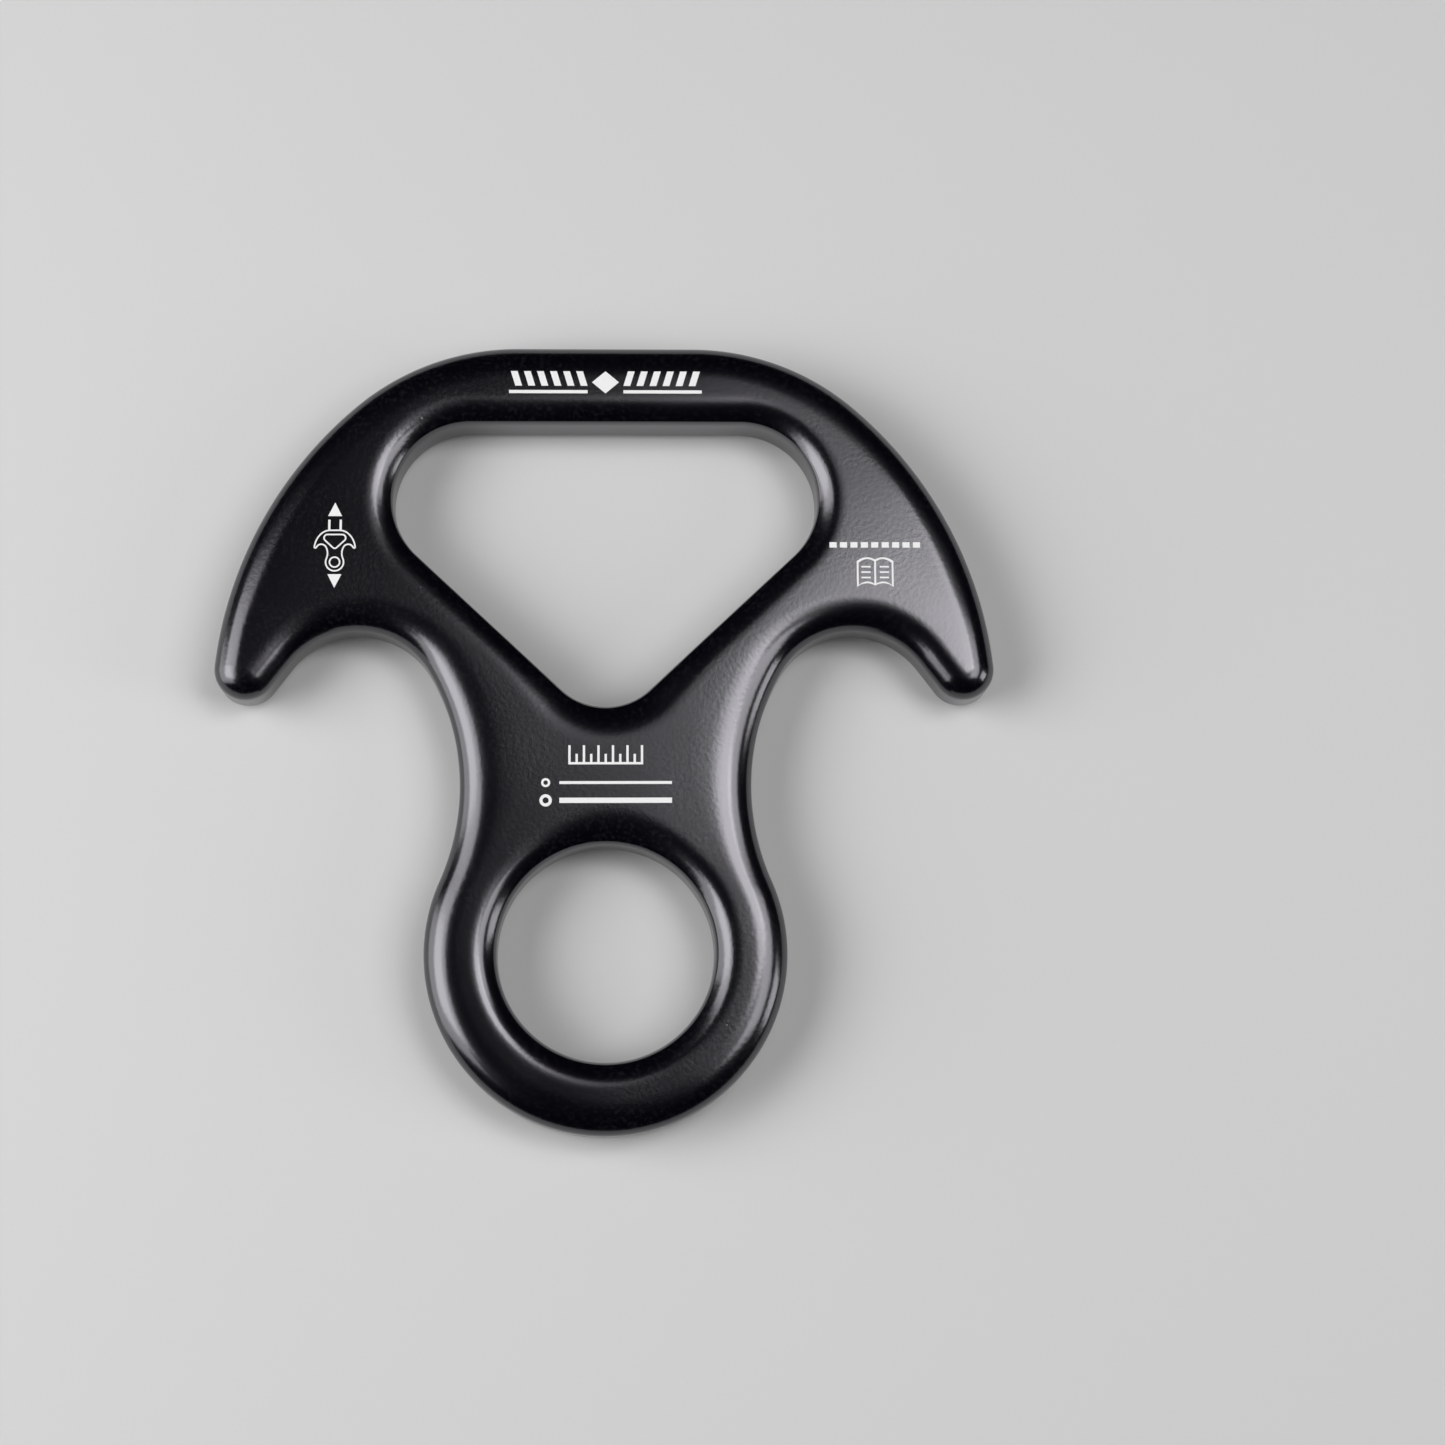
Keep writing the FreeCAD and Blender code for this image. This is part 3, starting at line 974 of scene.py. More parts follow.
@dataclass(frozen=True)
class BarStripe(Mark):
    """Stripe on the top bar: a diamond, slanted hashes on both sides and a thin line below.

    Attributes:
        diamond_share: half the diamond's length as a share of half the stripe's.
        line_share: height of the lower line as a share of the stripe's.
        gap_share: gap beside the diamond and above the line, as a share of the stripe's height.
        hashes: number of hashes on each side.
        fill_share: width of a hash as a share of their pitch.
        slant_share: how far a hash leans, as a share of their pitch.
    """

    diamond_share: float = 0.14
    line_share: float = 0.145
    gap_share: float = 0.194
    hashes: int = 6
    fill_share: float = 0.52
    slant_share: float = 0.35

    def draw(self, draft: MeshDraft) -> None:
        """Add the diamond, then the line and the hashes of each side.

        Args:
            draft: the mesh that takes it.
        """
        low, high = self.low[1], self.high[1]
        half = self.high[0]
        diamond = self.diamond_share * half
        middle = self.middle[1]
        self.ink.quad(draft, [(-diamond, middle), (0, low), (diamond, middle), (0, high)])
        line = self.line_share * (high - low)
        gap = self.gap_share * (high - low)
        start = diamond + gap
        pitch = (half - start) / self.hashes
        self.ink.bar(draft, (start, low), (half, low + line))
        self.ink.bar(draft, (-half, low), (-start, low + line))
        foot = low + line + gap
        lean = self.slant_share * pitch
        for index in range(self.hashes):
            left = start + index * pitch
            right = left + self.fill_share * pitch
            for side, (near, far) in ((1, (left, right)), (-1, (right, left))):
                feet = [(side * near, foot), (side * far, foot)]
                heads = [(side * (far + lean), high), (side * (near + lean), high)]
                self.ink.quad(draft, feet + heads)


@dataclass(frozen=True)
class LoadArrow(Mark):
    """Filled arrow that shows a direction of load.

    Attributes:
        way: which way it points.
    """

    way: ArrowWay = ArrowWay.UP

    def draw(self, draft: MeshDraft) -> None:
        """Add the triangle."""
        low, high = (self.low[1], self.high[1])[:: self.way.value]
        self.ink.triangle(draft, (self.middle[0], low), (self.high[0] - self.low[0]) / 2, high)


@dataclass(frozen=True)
class LoadSymbol(Mark):
    """Small line drawing of the part itself, with two strands of rope above it.

    Attributes:
        height_share: height of the drawing as a share of the solid's, whose rest is rope.
        line: width of the drawing's lines.
        fineness: how closely they are sampled, at the part's own size.
        rope_line: width of a strand.
        spacing_share: distance between the strands' middles, as a share of the solid's width.
    """

    height_share: float = 0.81
    line: float = 0.28 * MM
    fineness: Fineness = Fineness(8.0 * MM, math.radians(9.0))
    rope_line: float = 0.42 * MM
    spacing_share: float = 0.46

    def draw(self, draft: MeshDraft) -> None:
        """Add the three rims, each scaled down as a strip, then the strands.

        A strip runs from origin + scale * p + start * n to that point less line * n, with p on the rim
        and n its normal into the metal. The outer rim's strip starts in the metal, and a hole's strip
        starts on the rim.

        Args:
            draft: the mesh that takes it.
        """
        shape = self.ink.shape
        below = shape.eye_radius + shape.ring_width
        above = shape.eye_radius + shape.web_length + shape.opening_height + shape.bar_width
        height = self.height_share * (self.high[1] - self.low[1])
        scale = height / (below + above)
        origin = np.array([self.middle[0], self.low[1] + scale * below])
        for rim in shape.rims:
            points, inward = rim.trace(self.fineness)
            start = self.line if rim is shape.outer_rim else 0.0
            places = origin + scale * points + start * inward
            self.ink.add(draft, np.stack([places, places - self.line * inward], axis=1), closed=True)
        spacing = self.spacing_share * (self.high[0] - self.low[0])
        for side in (-1, 1):
            left = self.middle[0] + (side * spacing - self.rope_line) / 2
            self.ink.bar(draft, (left, self.low[1] + height), (left + self.rope_line, self.high[1]))


@dataclass(frozen=True)
class DashedRule(Mark):
    """Row of equal dashes.

    Attributes:
        dashes: number of dashes.
        fill_share: length of a dash as a share of their pitch.
    """

    dashes: int = 9
    fill_share: float = 0.68

    def draw(self, draft: MeshDraft) -> None:
        """Add the dashes from left to right.

        Args:
            draft: the mesh that takes it.
        """
        pitch = (self.high[0] - self.low[0]) / (self.dashes - 1 + self.fill_share)
        for index in range(self.dashes):
            left = self.low[0] + index * pitch
            self.ink.bar(draft, (left, self.low[1]), (left + self.fill_share * pitch, self.high[1]))


@dataclass(frozen=True)
class OpenBook(Mark):
    """Open book: two outlined pages with plain short lines on them.

    The shares are heights above the book's middle as shares of its half width, for each page at its
    spine, its middle and its side.

    Attributes:
        top_shares: the page's upper edge.
        bottom_shares: the page's lower edge.
        word_shares: heights of the short lines.
        word_length_share: length of a short line.
        word_height_share: height of a short line.
        columns: number of steps across a page.
        line: width of the pages' outline.
    """

    top_shares: tuple[float, float, float] = (0.72, 0.84, 0.63)
    bottom_shares: tuple[float, float, float] = (-0.72, -0.6, -0.8)
    word_shares: tuple[float, ...] = (0.32, 0.02, -0.28)
    word_length_share: float = 0.5
    word_height_share: float = 0.09
    columns: int = 16
    line: float = 0.34 * MM

    def page_edge(self, shares: tuple[float, float, float], inset: float, lift: float) -> np.ndarray:
        """Return an upper or lower page edge: the parabola through its three heights.

        Args:
            shares: heights at the spine, the middle and the side.
            inset: how far the side end is pulled in. The spine end is pulled in half as far, because
                both pages share the spine's line.
            lift: how far the whole edge is moved up.

        Returns:
            Plan points from the spine to the side.
        """
        half = (self.high[0] - self.low[0]) / 2
        t = np.linspace(0.0, 1.0, self.columns + 1)
        spine, crest, side = shares
        rise = spine * (1 - t) * (1 - 2 * t) + 4 * crest * t * (1 - t) + side * t * (2 * t - 1)
        middle = self.low[1] - min(self.bottom_shares) * half
        near, far = inset / 2, half - inset
        return np.stack([near + t * (far - near), middle + rise * half + lift], axis=1)

    def page(self, inset: float) -> np.ndarray:
        """Return the closed outline of the right page, pulled in on all sides."""
        top = self.page_edge(self.top_shares, inset, -inset)
        return np.concatenate([top, self.page_edge(self.bottom_shares, inset, inset)[::-1]])

    def draw(self, draft: MeshDraft) -> None:
        """Add each page's outline as a closed strip, then the short lines on it.

        Args:
            draft: the mesh that takes it.
        """
        half = (self.high[0] - self.low[0]) / 2
        centre = np.array([self.middle[0], 0.0])
        page = np.stack([self.page(self.line), self.page(0.0)], axis=1)
        self.ink.add(draft, centre + page, closed=True)
        self.ink.add(draft, centre + mirrored(page)[::-1], closed=True)
        middle = self.low[1] - min(self.bottom_shares) * half
        word = np.array([self.word_length_share, self.word_height_share]) * half
        for side in (-0.5, 0.5):
            for share in self.word_shares:
                place = centre + np.array([side * half, middle + share * half])
                self.ink.bar(draft, tuple(place - word / 2), tuple(place + word / 2))


@dataclass(frozen=True)
class TickScale(Mark):
    """Plain scale: a base line with long and short ticks in turn.

    Attributes:
        ticks: number of ticks.
        line_share: width of its lines as a share of its height.
        short_share: height of the short ticks as a share of the long ones'.
    """

    ticks: int = 11
    line_share: float = 0.12
    short_share: float = 0.55

    def draw(self, draft: MeshDraft) -> None:
        """Add the base line, then the ticks that stand on it.

        Args:
            draft: the mesh that takes it.
        """
        tall = self.high[1] - self.low[1]
        line = self.line_share * tall
        base = self.low[1] + line
        self.ink.bar(draft, tuple(self.low), (self.high[0], base))
        pitch = (self.high[0] - self.low[0] - line) / (self.ticks - 1)
        for index in range(self.ticks):
            left = self.low[0] + index * pitch
            top = self.low[1] + tall * (self.short_share if index % 2 else 1.0)
            self.ink.bar(draft, (left, base), (left + line, top))


@dataclass(frozen=True)
class RopeMark(Mark):
    """Rope symbol: the rope's end seen as a circle, and the rope seen from the side.

    Attributes:
        thickness_share: height of the rope's line as a share of the circle's radius.
        start: where the rope's line begins.
        circle_share: width of the circle's line as a share of its radius.
    """

    thickness_share: float
    start: float
    circle_share: float = 0.5

    def draw(self, draft: MeshDraft) -> None:
        """Add the circle, then the line.

        Args:
            draft: the mesh that takes it.
        """
        radius = (self.high[1] - self.low[1]) / 2
        y = self.middle[1]
        self.ink.ring(draft, (self.low[0] + radius, y), radius, self.circle_share * radius)
        half = self.thickness_share * radius / 2
        self.ink.bar(draft, (self.start, y - half), (self.high[0], y + half))


def socket(node: bpy.types.Node, name: str) -> bpy.types.NodeSocket:
    """Return a node's input socket by name."""
    return node.inputs[name]


def reckon(
    tree: bpy.types.NodeTree, kind: str, *terms: bpy.types.NodeSocket | float
) -> bpy.types.NodeSocket:
    """Return the result of a new Math node.

    Args:
        tree: the node tree that takes it.
        kind: the node's operation.
        terms: its inputs in order.

    Returns:
        The result.
    """
    node = tree.nodes.new("ShaderNodeMath")
    node.operation = kind
    for entry, term in zip(node.inputs, terms):
        if isinstance(term, float):
            entry.default_value = term
        else:
            tree.links.new(term, entry)
    return node.outputs[0]


def ramp(
    tree: bpy.types.NodeTree,
    level: bpy.types.NodeSocket,
    edges: tuple[float, float],
    ends: tuple[float, float] = (0.0, 1.0),
) -> bpy.types.NodeSocket:
    """Return a level carried by smoothstep from the range of its edges to the range of its ends.

    Args:
        tree: the node tree that takes it.
        level: the level.
        edges: its values where the ramp begins and ends.
        ends: the ramp's values there.

    Returns:
        The new level.
    """
    node = tree.nodes.new("ShaderNodeMapRange")
    node.interpolation_type = "SMOOTHSTEP"
    tree.links.new(level, socket(node, "Value"))
    for name, value in zip(("From Min", "From Max", "To Min", "To Max"), edges + ends):
        socket(node, name).default_value = value
    return node.outputs["Result"]


def blend(
    tree: bpy.types.NodeTree,
    share: bpy.types.NodeSocket,
    first: tuple[float, float, float],
    second: tuple[float, float, float],
) -> bpy.types.NodeSocket:
    """Return a blend of two colours.

    Args:
        tree: the node tree that takes it.
        share: share of the second colour, kept from 0 to 1.
        first: the first colour, linear.
        second: the second colour, linear.

    Returns:
        The blended colour.
    """
    node = tree.nodes.new("ShaderNodeMix")
    node.data_type = "RGBA"
    tree.links.new(share, node.inputs[0])
    colours = [entry for entry in node.inputs if entry.type == "RGBA"]
    for entry, colour in zip(colours, (first, second)):
        entry.default_value = (*colour, 1.0)
    return next(result for result in node.outputs if result.type == "RGBA")


class SurfaceGroup:
    """Shared shader group: fine grain in patches, broad waviness and a few small dings.

    Attributes:
        patch_edges: noise levels between which the grain goes from calm to full.
        calm_share: strength of the grain in the calm places.
        grain_detail: number of finer layers in the grain's noise.
        patch_detail: number of finer layers in the noise of the patches and the waviness.
    """

    NAME = "surface_grain"
    patch_edges = (0.4, 0.65)
    calm_share = 0.5
    grain_detail = 2.0
    patch_detail = 1.0

    def __init__(self) -> None:
        """Build the group once."""
        self.tree = bpy.data.node_groups.new(self.NAME, "ShaderNodeTree")
        for name, kind, in_out in (
            ("Vector", "NodeSocketVector", "INPUT"),
            ("Grain Scale", "NodeSocketFloat", "INPUT"),
            ("Patch Scale", "NodeSocketFloat", "INPUT"),
            ("Wave Scale", "NodeSocketFloat", "INPUT"),
            ("Ding Scale", "NodeSocketFloat", "INPUT"),
            ("Ding Size", "NodeSocketFloat", "INPUT"),
            ("Ding Share", "NodeSocketFloat", "INPUT"),
            ("Grain", "NodeSocketFloat", "OUTPUT"),
            ("Wave", "NodeSocketFloat", "OUTPUT"),
            ("Ding", "NodeSocketFloat", "OUTPUT"),
        ):
            self.tree.interface.new_socket(name=name, in_out=in_out, socket_type=kind)
        self.entry = self.tree.nodes.new("NodeGroupInput")
        exit_node = self.tree.nodes.new("NodeGroupOutput")
        ends = (self.calm_share, 1.0)
        patches = ramp(self.tree, self._noise("Patch Scale", self.patch_detail), self.patch_edges, ends)
        centred = reckon(self.tree, "SUBTRACT", self._noise("Grain Scale", self.grain_detail), 0.5)
        grain = reckon(self.tree, "MULTIPLY", centred, patches)
        self.tree.links.new(grain, socket(exit_node, "Grain"))
        wave = self._noise("Wave Scale", self.patch_detail)
        self.tree.links.new(wave, socket(exit_node, "Wave"))
        self.tree.links.new(self._dings(), socket(exit_node, "Ding"))

    def _noise(self, scale: str, detail: float) -> bpy.types.NodeSocket:
        """Add a noise texture.

        Args:
            scale: name of the group's input that sets its scale.
            detail: number of finer layers in it.

        Returns:
            Its level.
        """
        noise = self.tree.nodes.new("ShaderNodeTexNoise")
        socket(noise, "Detail").default_value = detail
        self.tree.links.new(self.entry.outputs["Vector"], socket(noise, "Vector"))
        self.tree.links.new(self.entry.outputs[scale], socket(noise, "Scale"))
        return noise.outputs[0]

    def _dings(self) -> bpy.types.NodeSocket:
        """Return small round dings, 1 in their middle, in a share of the cells of a cell texture.

        A ding is smoothstep(1 - distance / size), kept where the cell's own random number is under
        the share.

        Returns:
            The level.
        """
        cells = self.tree.nodes.new("ShaderNodeTexVoronoi")
        self.tree.links.new(self.entry.outputs["Vector"], socket(cells, "Vector"))
        self.tree.links.new(self.entry.outputs["Ding Scale"], socket(cells, "Scale"))
        parts = self.tree.nodes.new("ShaderNodeSeparateColor")
        self.tree.links.new(cells.outputs["Color"], parts.inputs[0])
        chosen = reckon(self.tree, "LESS_THAN", parts.outputs[0], self.entry.outputs["Ding Share"])
        away = reckon(self.tree, "DIVIDE", cells.outputs["Distance"], self.entry.outputs["Ding Size"])
        return reckon(self.tree, "MULTIPLY", ramp(self.tree, away, (0.0, 1.0), (1.0, 0.0)), chosen)


@dataclass(frozen=True)
class Finish:
    """Plain surface finish.

    Attributes:
        name: the material's name.
        colour: base colour, linear.
        tint: colour of its reflections, linear.
        roughness: mean roughness.
        roughness_swing: how far the broad waviness moves it.
        ior: index of refraction of the surface.
        grain_scale: fine grain, in waves per metre.
        patch_scale: patches of stronger grain, in waves per metre.
        wave_scale: broad waviness, in waves per metre.
        ding_scale: dings, in cells per metre.
        ding_size: radius of a ding as a share of a cell.
        ding_share: share of the cells that hold a ding.
        lift: how much lighter a ding is.
        grain_share: how strongly the grain lightens the colour, against a ding.
        grain_depth: height of the fine grain.
        wave_depth: height of the broad waviness.
        ding_depth: depth of a ding.
    """

    name: str
    colour: tuple[float, float, float]
    tint: tuple[float, float, float]
    roughness: float
    roughness_swing: float
    ior: float
    grain_scale: float
    patch_scale: float
    wave_scale: float
    ding_scale: float
    ding_size: float
    ding_share: float
    lift: float
    grain_share: float
    grain_depth: float
    wave_depth: float
    ding_depth: float

    def material(self, group: SurfaceGroup) -> bpy.types.Material:
        """Return the material.

        Roughness is the mean plus a swing that follows the waviness. The bump's height is the sum of
        grain, waviness and dings at their depths. Grain and dings lighten or darken the base colour.

        Args:
            group: the shared grain.

        Returns:
            The new material.
        """
        material = bpy.data.materials.new(self.name)
        material.use_nodes = True
        tree = material.node_tree
        nodes, links = tree.nodes, tree.links
        shader = next(node for node in nodes if node.type == "BSDF_PRINCIPLED")
        socket(shader, "IOR").default_value = self.ior
        socket(shader, "Specular Tint").default_value = (*self.tint, 1.0)
        place = nodes.new("ShaderNodeTexCoord")
        grain = nodes.new("ShaderNodeGroup")
        grain.node_tree = group.tree
        links.new(place.outputs["Object"], socket(grain, "Vector"))
        for name, value in (
            ("Grain Scale", self.grain_scale),
            ("Patch Scale", self.patch_scale),
            ("Wave Scale", self.wave_scale),
            ("Ding Scale", self.ding_scale),
            ("Ding Size", self.ding_size),
            ("Ding Share", self.ding_share),
        ):
            socket(grain, name).default_value = value

        rough = nodes.new("ShaderNodeMapRange")
        links.new(grain.outputs["Wave"], socket(rough, "Value"))
        socket(rough, "To Min").default_value = self.roughness - self.roughness_swing
        socket(rough, "To Max").default_value = self.roughness + self.roughness_swing
        links.new(rough.outputs["Result"], socket(shader, "Roughness"))

        terms = (grain.outputs["Grain"], self.grain_share, grain.outputs["Ding"])
        speck = reckon(tree, "MULTIPLY_ADD", *terms)
        lifted = tuple(part + self.lift for part in self.colour)
        links.new(blend(tree, speck, self.colour, lifted), socket(shader, "Base Color"))

        height: bpy.types.NodeSocket | float = 0.0
        depths = {"Wave": self.wave_depth, "Grain": self.grain_depth, "Ding": -self.ding_depth}
        for name, depth in depths.items():
            height = reckon(tree, "MULTIPLY_ADD", grain.outputs[name], depth, height)
        relief = nodes.new("ShaderNodeBump")
        socket(relief, "Distance").default_value = 1.0
        links.new(height, socket(relief, "Height"))
        links.new(relief.outputs["Normal"], socket(shader, "Normal"))
        return material


ANODISED = Finish(
    name="black_anodising",
    colour=(0.0002, 0.0001, 0.0018),
    tint=(0.95, 0.935, 1.0),
    roughness=0.182,
    roughness_swing=0.03,
    ior=1.82,
    grain_scale=1300.0,
    patch_scale=62.0,
    wave_scale=70.0,
    ding_scale=230.0,
    ding_size=0.05,
    ding_share=0.22,
    lift=0.02,
    grain_share=1.5,
    grain_depth=0.016 * MM,
    wave_depth=0.012 * MM,
    ding_depth=0.04 * MM,
)

PRINT = Finish(
    name="white_print",
    colour=(0.86, 0.86, 0.86),
    tint=(1.0, 1.0, 1.0),
    roughness=0.5,
    roughness_swing=0.05,
    ior=1.5,
    grain_scale=5200.0,
    patch_scale=300.0,
    wave_scale=700.0,
    ding_scale=2400.0,
    ding_size=0.12,
    ding_share=0.3,
    lift=-0.2,
    grain_share=0.5,
    grain_depth=0.004 * MM,
    wave_depth=0.002 * MM,
    ding_depth=0.002 * MM,
)

FLOOR = Finish(
    name="studio_floor",
    colour=(0.64, 0.64, 0.64),
    tint=(1.0, 1.0, 1.0),
    roughness=0.7,
    roughness_swing=0.02,
    ior=1.45,
    grain_scale=900.0,
    patch_scale=10.0,
    wave_scale=20.0,
    ding_scale=100.0,
    ding_size=0.01,
    ding_share=0.0,
    lift=0.0,
    grain_share=0.0,
    grain_depth=0.01 * MM,
    wave_depth=0.01 * MM,
    ding_depth=0.0,
)


@dataclass(frozen=True)
class Softbox:
    """Rectangular soft light that faces the object.

    Attributes:
        name: the light's name.
        lean: angle of its direction from the upright, in degrees.
        heading: angle of its direction in plan, in degrees from +X.
        distance: how far it stands from the object's middle.
        width: its size across the plane that holds its direction and the upright.
        height: its size in that plane.
        turn: turn of the rectangle about its own direction, in degrees.
        brightness: radiance of its face, where 1 lights a surface inside it as bright as white.
    """

    name: str
    lean: float
    heading: float
    distance: float
    width: float
    height: float
    turn: float
    brightness: float

    def build(self, middle: Vector) -> bpy.types.Object:
        """Return the light, turned towards a point.

        Args:
            middle: what it faces.

        Returns:
            The new light object.
        """
        light = bpy.data.lights.new(self.name, "AREA")
        light.shape = "RECTANGLE"
        light.size = self.width
        light.size_y = self.height
        light.energy = self.brightness * math.pi * self.width * self.height
        lean = math.radians(self.lean)
        flat = unit(math.radians(self.heading)) * math.sin(lean)
        direction = Vector((flat[0], flat[1], math.cos(lean)))
        lamp = bpy.data.objects.new(self.name, light)
        lamp.location = middle + self.distance * direction
        facing = (-direction).to_track_quat("-Z", "Y")
        turn = Quaternion((0.0, 0.0, 1.0), math.radians(self.turn))
        lamp.rotation_euler = (facing @ turn).to_euler()
        bpy.context.scene.collection.objects.link(lamp)
        return lamp


@dataclass(frozen=True)
class Viewpoint:
    """The photograph's viewing point, almost straight above the plate.

    Attributes:
        place: where the camera stands.
        aim: point in the middle of the picture.
        roll: turn of the picture, in radians.
        lens: focal length, in millimetres.
        sensor: width of the sensor, in millimetres.
    """

    place: tuple[float, float, float] = (0.0, -54.65 * MM, 594.0 * MM)
    aim: tuple[float, float, float] = (21.817 * MM, 43.457 * MM, 0.0)
    roll: float = math.radians(-0.3824)
    lens: float = 80.289
    sensor: float = 36.0

    def build(self) -> bpy.types.Object:
        """Make the camera, with the picture's up direction along +Y before its roll.

        Returns:
            The new camera object.
        """
        camera = bpy.data.cameras.new("camera")
        camera.lens = self.lens
        camera.sensor_width = self.sensor
        ahead = (Vector(self.aim) - Vector(self.place)).normalized()
        right = ahead.cross(Vector((0.0, 1.0, 0.0))).normalized()
        up = right.cross(ahead)
        turned_right = math.cos(self.roll) * right + math.sin(self.roll) * up
        turned_up = math.cos(self.roll) * up - math.sin(self.roll) * right
        turn = Matrix((turned_right, turned_up, -ahead)).transposed()
        viewer = bpy.data.objects.new("camera", camera)
        viewer.matrix_world = Matrix.Translation(self.place) @ turn.to_4x4()
        bpy.context.scene.collection.objects.link(viewer)
        return viewer


@dataclass(frozen=True)
class Studio:
    """Pale floor, soft lights and the viewpoint.

    Attributes:
        floor_size: side of the square floor.
        glow_start: distance from the part at which the floor starts to show its own colour unlit.
        glow_full: distance at which it shows it in full, because no light reaches further.
        glow_squeeze: factor of X in that distance, because the lights reach further along it.
        ambient: brightness of the surroundings.
        softboxes: the lights.
        viewpoint: the camera's place.
    """

    floor_size: float = 60.0
    glow_start: float = 0.25
    glow_full: float = 1.5
    glow_squeeze: float = 0.8
    ambient: float = 0.01
    softboxes: tuple[Softbox, ...] = (
        Softbox("left_softbox", 44.5, 177.0, 1.0, 0.74, 0.60, -10.0, 3.55),
        Softbox("left_side_softbox", 65.5, 186.7, 1.1, 0.90, 1.16, -14.0, 2.45),
        Softbox("right_softbox", 19.6, 29.0, 1.1, 0.34, 0.34, 7.0, 5.8),
        Softbox("right_wide_softbox", 33.3, 0.5, 1.1, 0.66, 0.42, -1.0, 3.55),
        Softbox("top_softbox", 13.5, 10.0, 1.1, 0.78, 0.30, 29.0, 0.67),
        Softbox("right_low_softbox", 67.5, -12.0, 1.1, 0.32, 0.43, -14.0, 3.9),
    )
    viewpoint: Viewpoint = Viewpoint()

    def floor_material(self, group: SurfaceGroup) -> bpy.types.Material:
        """Return the floor's material, which stays pale far away.

        Its glow is seen but lights nothing: the floor's colour times smoothstep of the distance, for
        camera, glossy and transmission rays alone.

        Args:
            group: the shared grain.

        Returns:
            The new material.
        """
        material = FLOOR.material(group)
        tree = material.node_tree
        nodes, links = tree.nodes, tree.links
        shader = next(node for node in nodes if node.type == "BSDF_PRINCIPLED")
        place = nodes.new("ShaderNodeTexCoord")
        squeeze = nodes.new("ShaderNodeVectorMath")
        squeeze.operation = "MULTIPLY"
        squeeze.inputs[1].default_value = (self.glow_squeeze, 1.0, 1.0)
        links.new(place.outputs["Object"], squeeze.inputs[0])
        away = nodes.new("ShaderNodeVectorMath")
        away.operation = "LENGTH"
        links.new(squeeze.outputs[0], away.inputs[0])
        glow = ramp(tree, away.outputs["Value"], (self.glow_start, self.glow_full))
        path = nodes.new("ShaderNodeLightPath")
        seen = path.outputs["Is Camera Ray"]
        for name in ("Is Glossy Ray", "Is Transmission Ray"):
            seen = reckon(tree, "MAXIMUM", seen, path.outputs[name])
        colour = blend(tree, reckon(tree, "MULTIPLY", glow, seen), (0.0, 0.0, 0.0), FLOOR.colour)
        links.new(colour, socket(shader, "Emission Color"))
        socket(shader, "Emission Strength").default_value = 1.0
        return material

    def build(self, group: SurfaceGroup) -> None:
        """Make the floor under the part, the lights, the surroundings and the camera.

        Args:
            group: the shared grain.
        """
        low, high = CAD_BOX
        half = self.floor_size / 2
        corners = [(x, y, low.z) for x, y in ((-half, -half), (half, -half), (half, half), (-half, half))]
        mesh = bpy.data.meshes.new("floor")
        mesh.from_pydata(corners, [], [(0, 1, 2, 3)])
        mesh.materials.append(self.floor_material(group))
        floor = bpy.data.objects.new("floor", mesh)
        bpy.context.scene.collection.objects.link(floor)
        middle = (low + high) / 2
        for softbox in self.softboxes:
            softbox.build(middle)
        world = bpy.data.worlds.new("surroundings")
        world.use_nodes = True
        background = next(node for node in world.node_tree.nodes if node.type == "BACKGROUND")
        socket(background, "Color").default_value = (1.0, 1.0, 1.0, 1.0)
        socket(background, "Strength").default_value = self.ambient
        bpy.context.scene.world = world
        bpy.context.scene.camera = self.viewpoint.build()
        bpy.context.scene.view_settings.view_transform = "Standard"


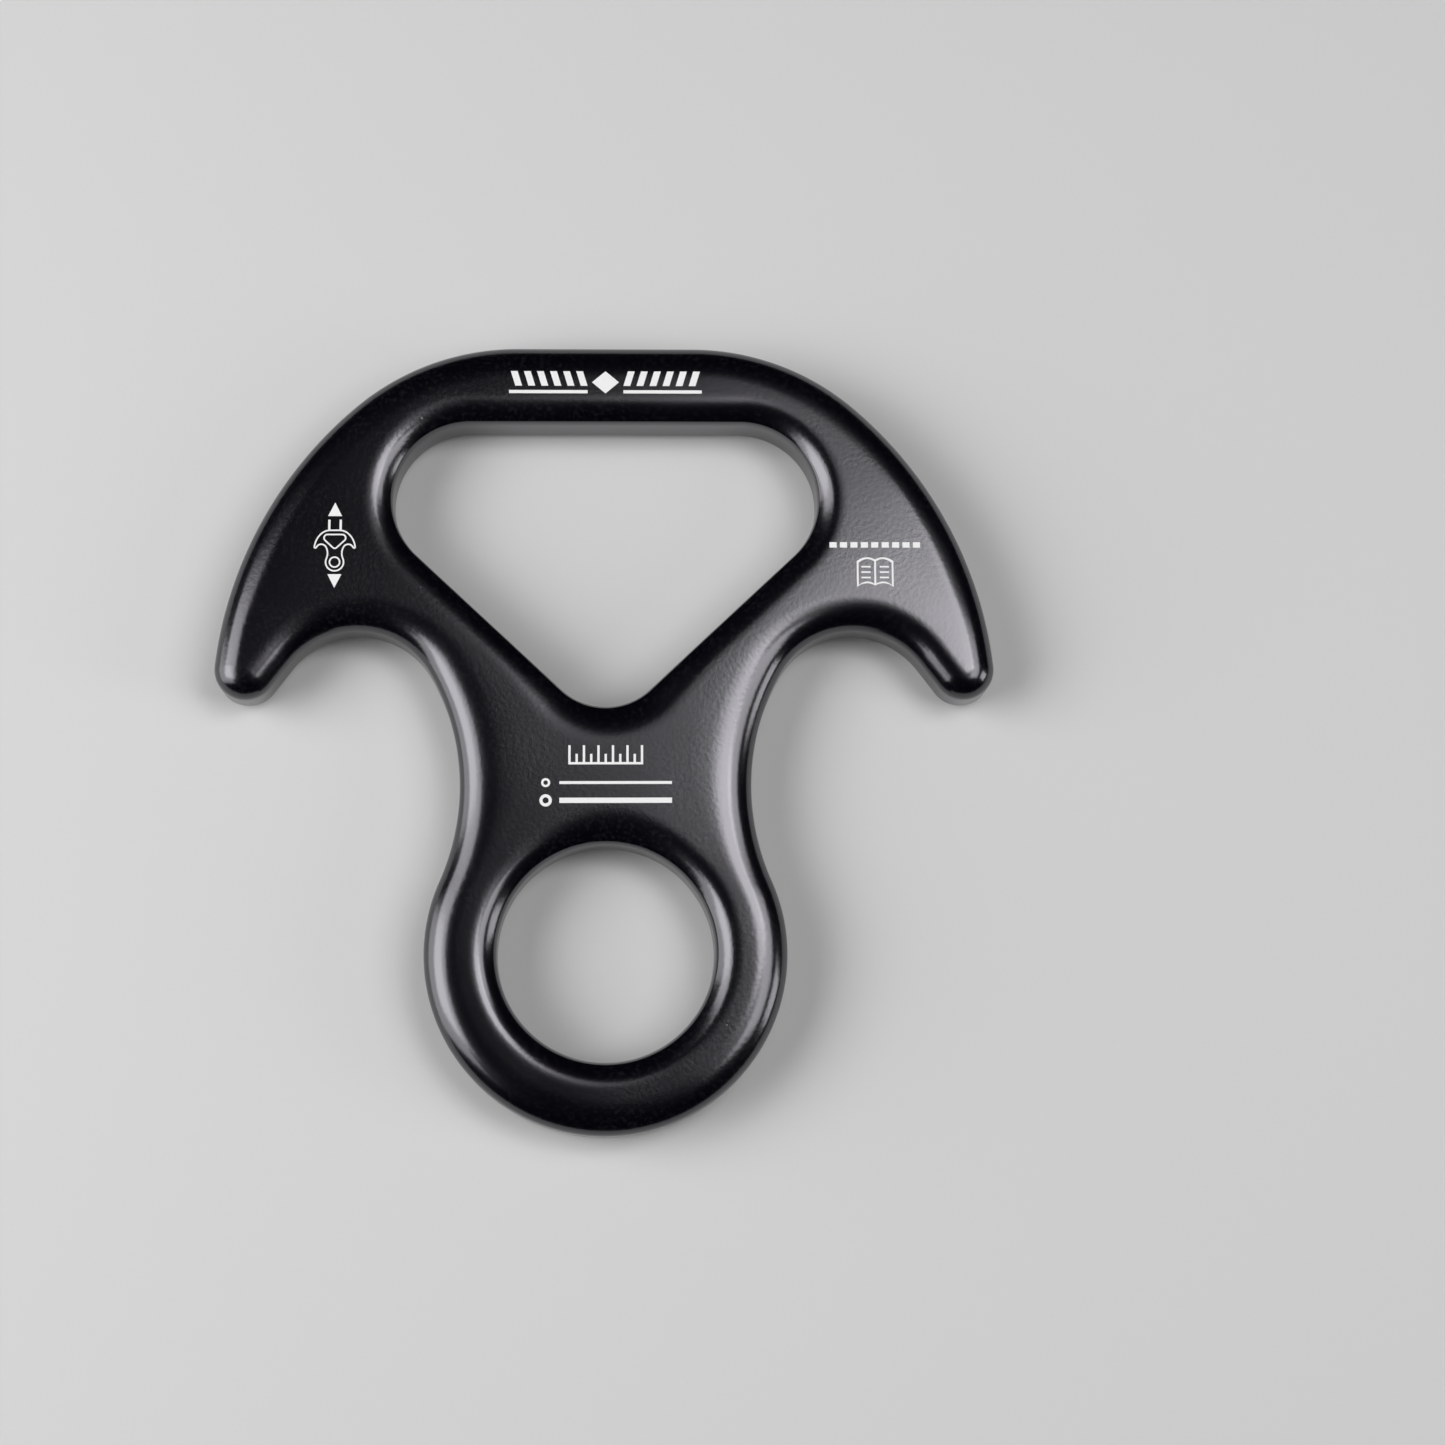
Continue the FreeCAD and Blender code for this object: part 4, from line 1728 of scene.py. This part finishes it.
@dataclass(frozen=True)
class Descender:
    """The whole part: the forged body and its printed marks.

    Attributes:
        shape: the forging's outline.
        rope_gap_share: gap between a rope mark's circle and its line, as a share of the mark's length.
        thin_rope_share: height of the thin rope's line as a share of its circle's radius.
        thick_rope_share: height of the thick rope's line as a share of its circle's radius.
    """

    shape: PlateShape
    rope_gap_share: float = 0.0566
    thin_rope_share: float = 0.64
    thick_rope_share: float = 0.86

    def marks(self) -> list[Mark]:
        """List the nine marks of the front face.

        The lines of both rope marks begin at one place, a gap beyond the thick rope's circle.

        Returns:
            The marks.
        """
        ink = InkFilm(self.shape)
        low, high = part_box("thick_rope_mark")
        start = low.x + (high.y - low.y) + self.rope_gap_share * (high.x - low.x)
        return [
            BarStripe("bar_stripe_mark", ink),
            LoadArrow("load_arrow_up_mark", ink, ArrowWay.UP),
            LoadArrow("load_arrow_down_mark", ink, ArrowWay.DOWN),
            LoadSymbol("load_symbol_mark", ink),
            DashedRule("dashed_rule_mark", ink),
            OpenBook("open_book_mark", ink),
            TickScale("tick_scale_mark", ink),
            RopeMark("thin_rope_mark", ink, self.thin_rope_share, start),
            RopeMark("thick_rope_mark", ink, self.thick_rope_share, start),
        ]

    def build(self, group: SurfaceGroup) -> list[bpy.types.Object]:
        """Make and dress every piece.

        Args:
            group: the shared grain.

        Returns:
            The new pieces.
        """
        anodised = ANODISED.material(group)
        printed = PRINT.material(group)
        body = ForgedBody(self.shape).build()
        pieces = [self.dress(body, "descender_body", anodised)]
        for mark in self.marks():
            pieces.append(self.dress(mark.build(), mark.node, printed))
        return pieces

    def dress(
        self, piece: bpy.types.Object, node: str, material: bpy.types.Material
    ) -> bpy.types.Object:
        """Give a piece its material and let it stand for its solid.

        Args:
            piece: the new object.
            node: the solid that it stands for.
            material: its finish.

        Returns:
            The same piece.
        """
        piece.data.materials.append(material)
        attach(piece, BODY)
        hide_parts(node)
        return piece


def main() -> None:
    """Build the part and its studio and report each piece."""
    logging.basicConfig(level=logging.INFO, format="%(name)s: %(message)s")
    group = SurfaceGroup()
    for piece in Descender(PlateShape()).build(group):
        LOG.info("%s has %d faces", piece.name, len(piece.data.polygons))
    Studio().build(group)


if __name__ == "__main__":
    main()
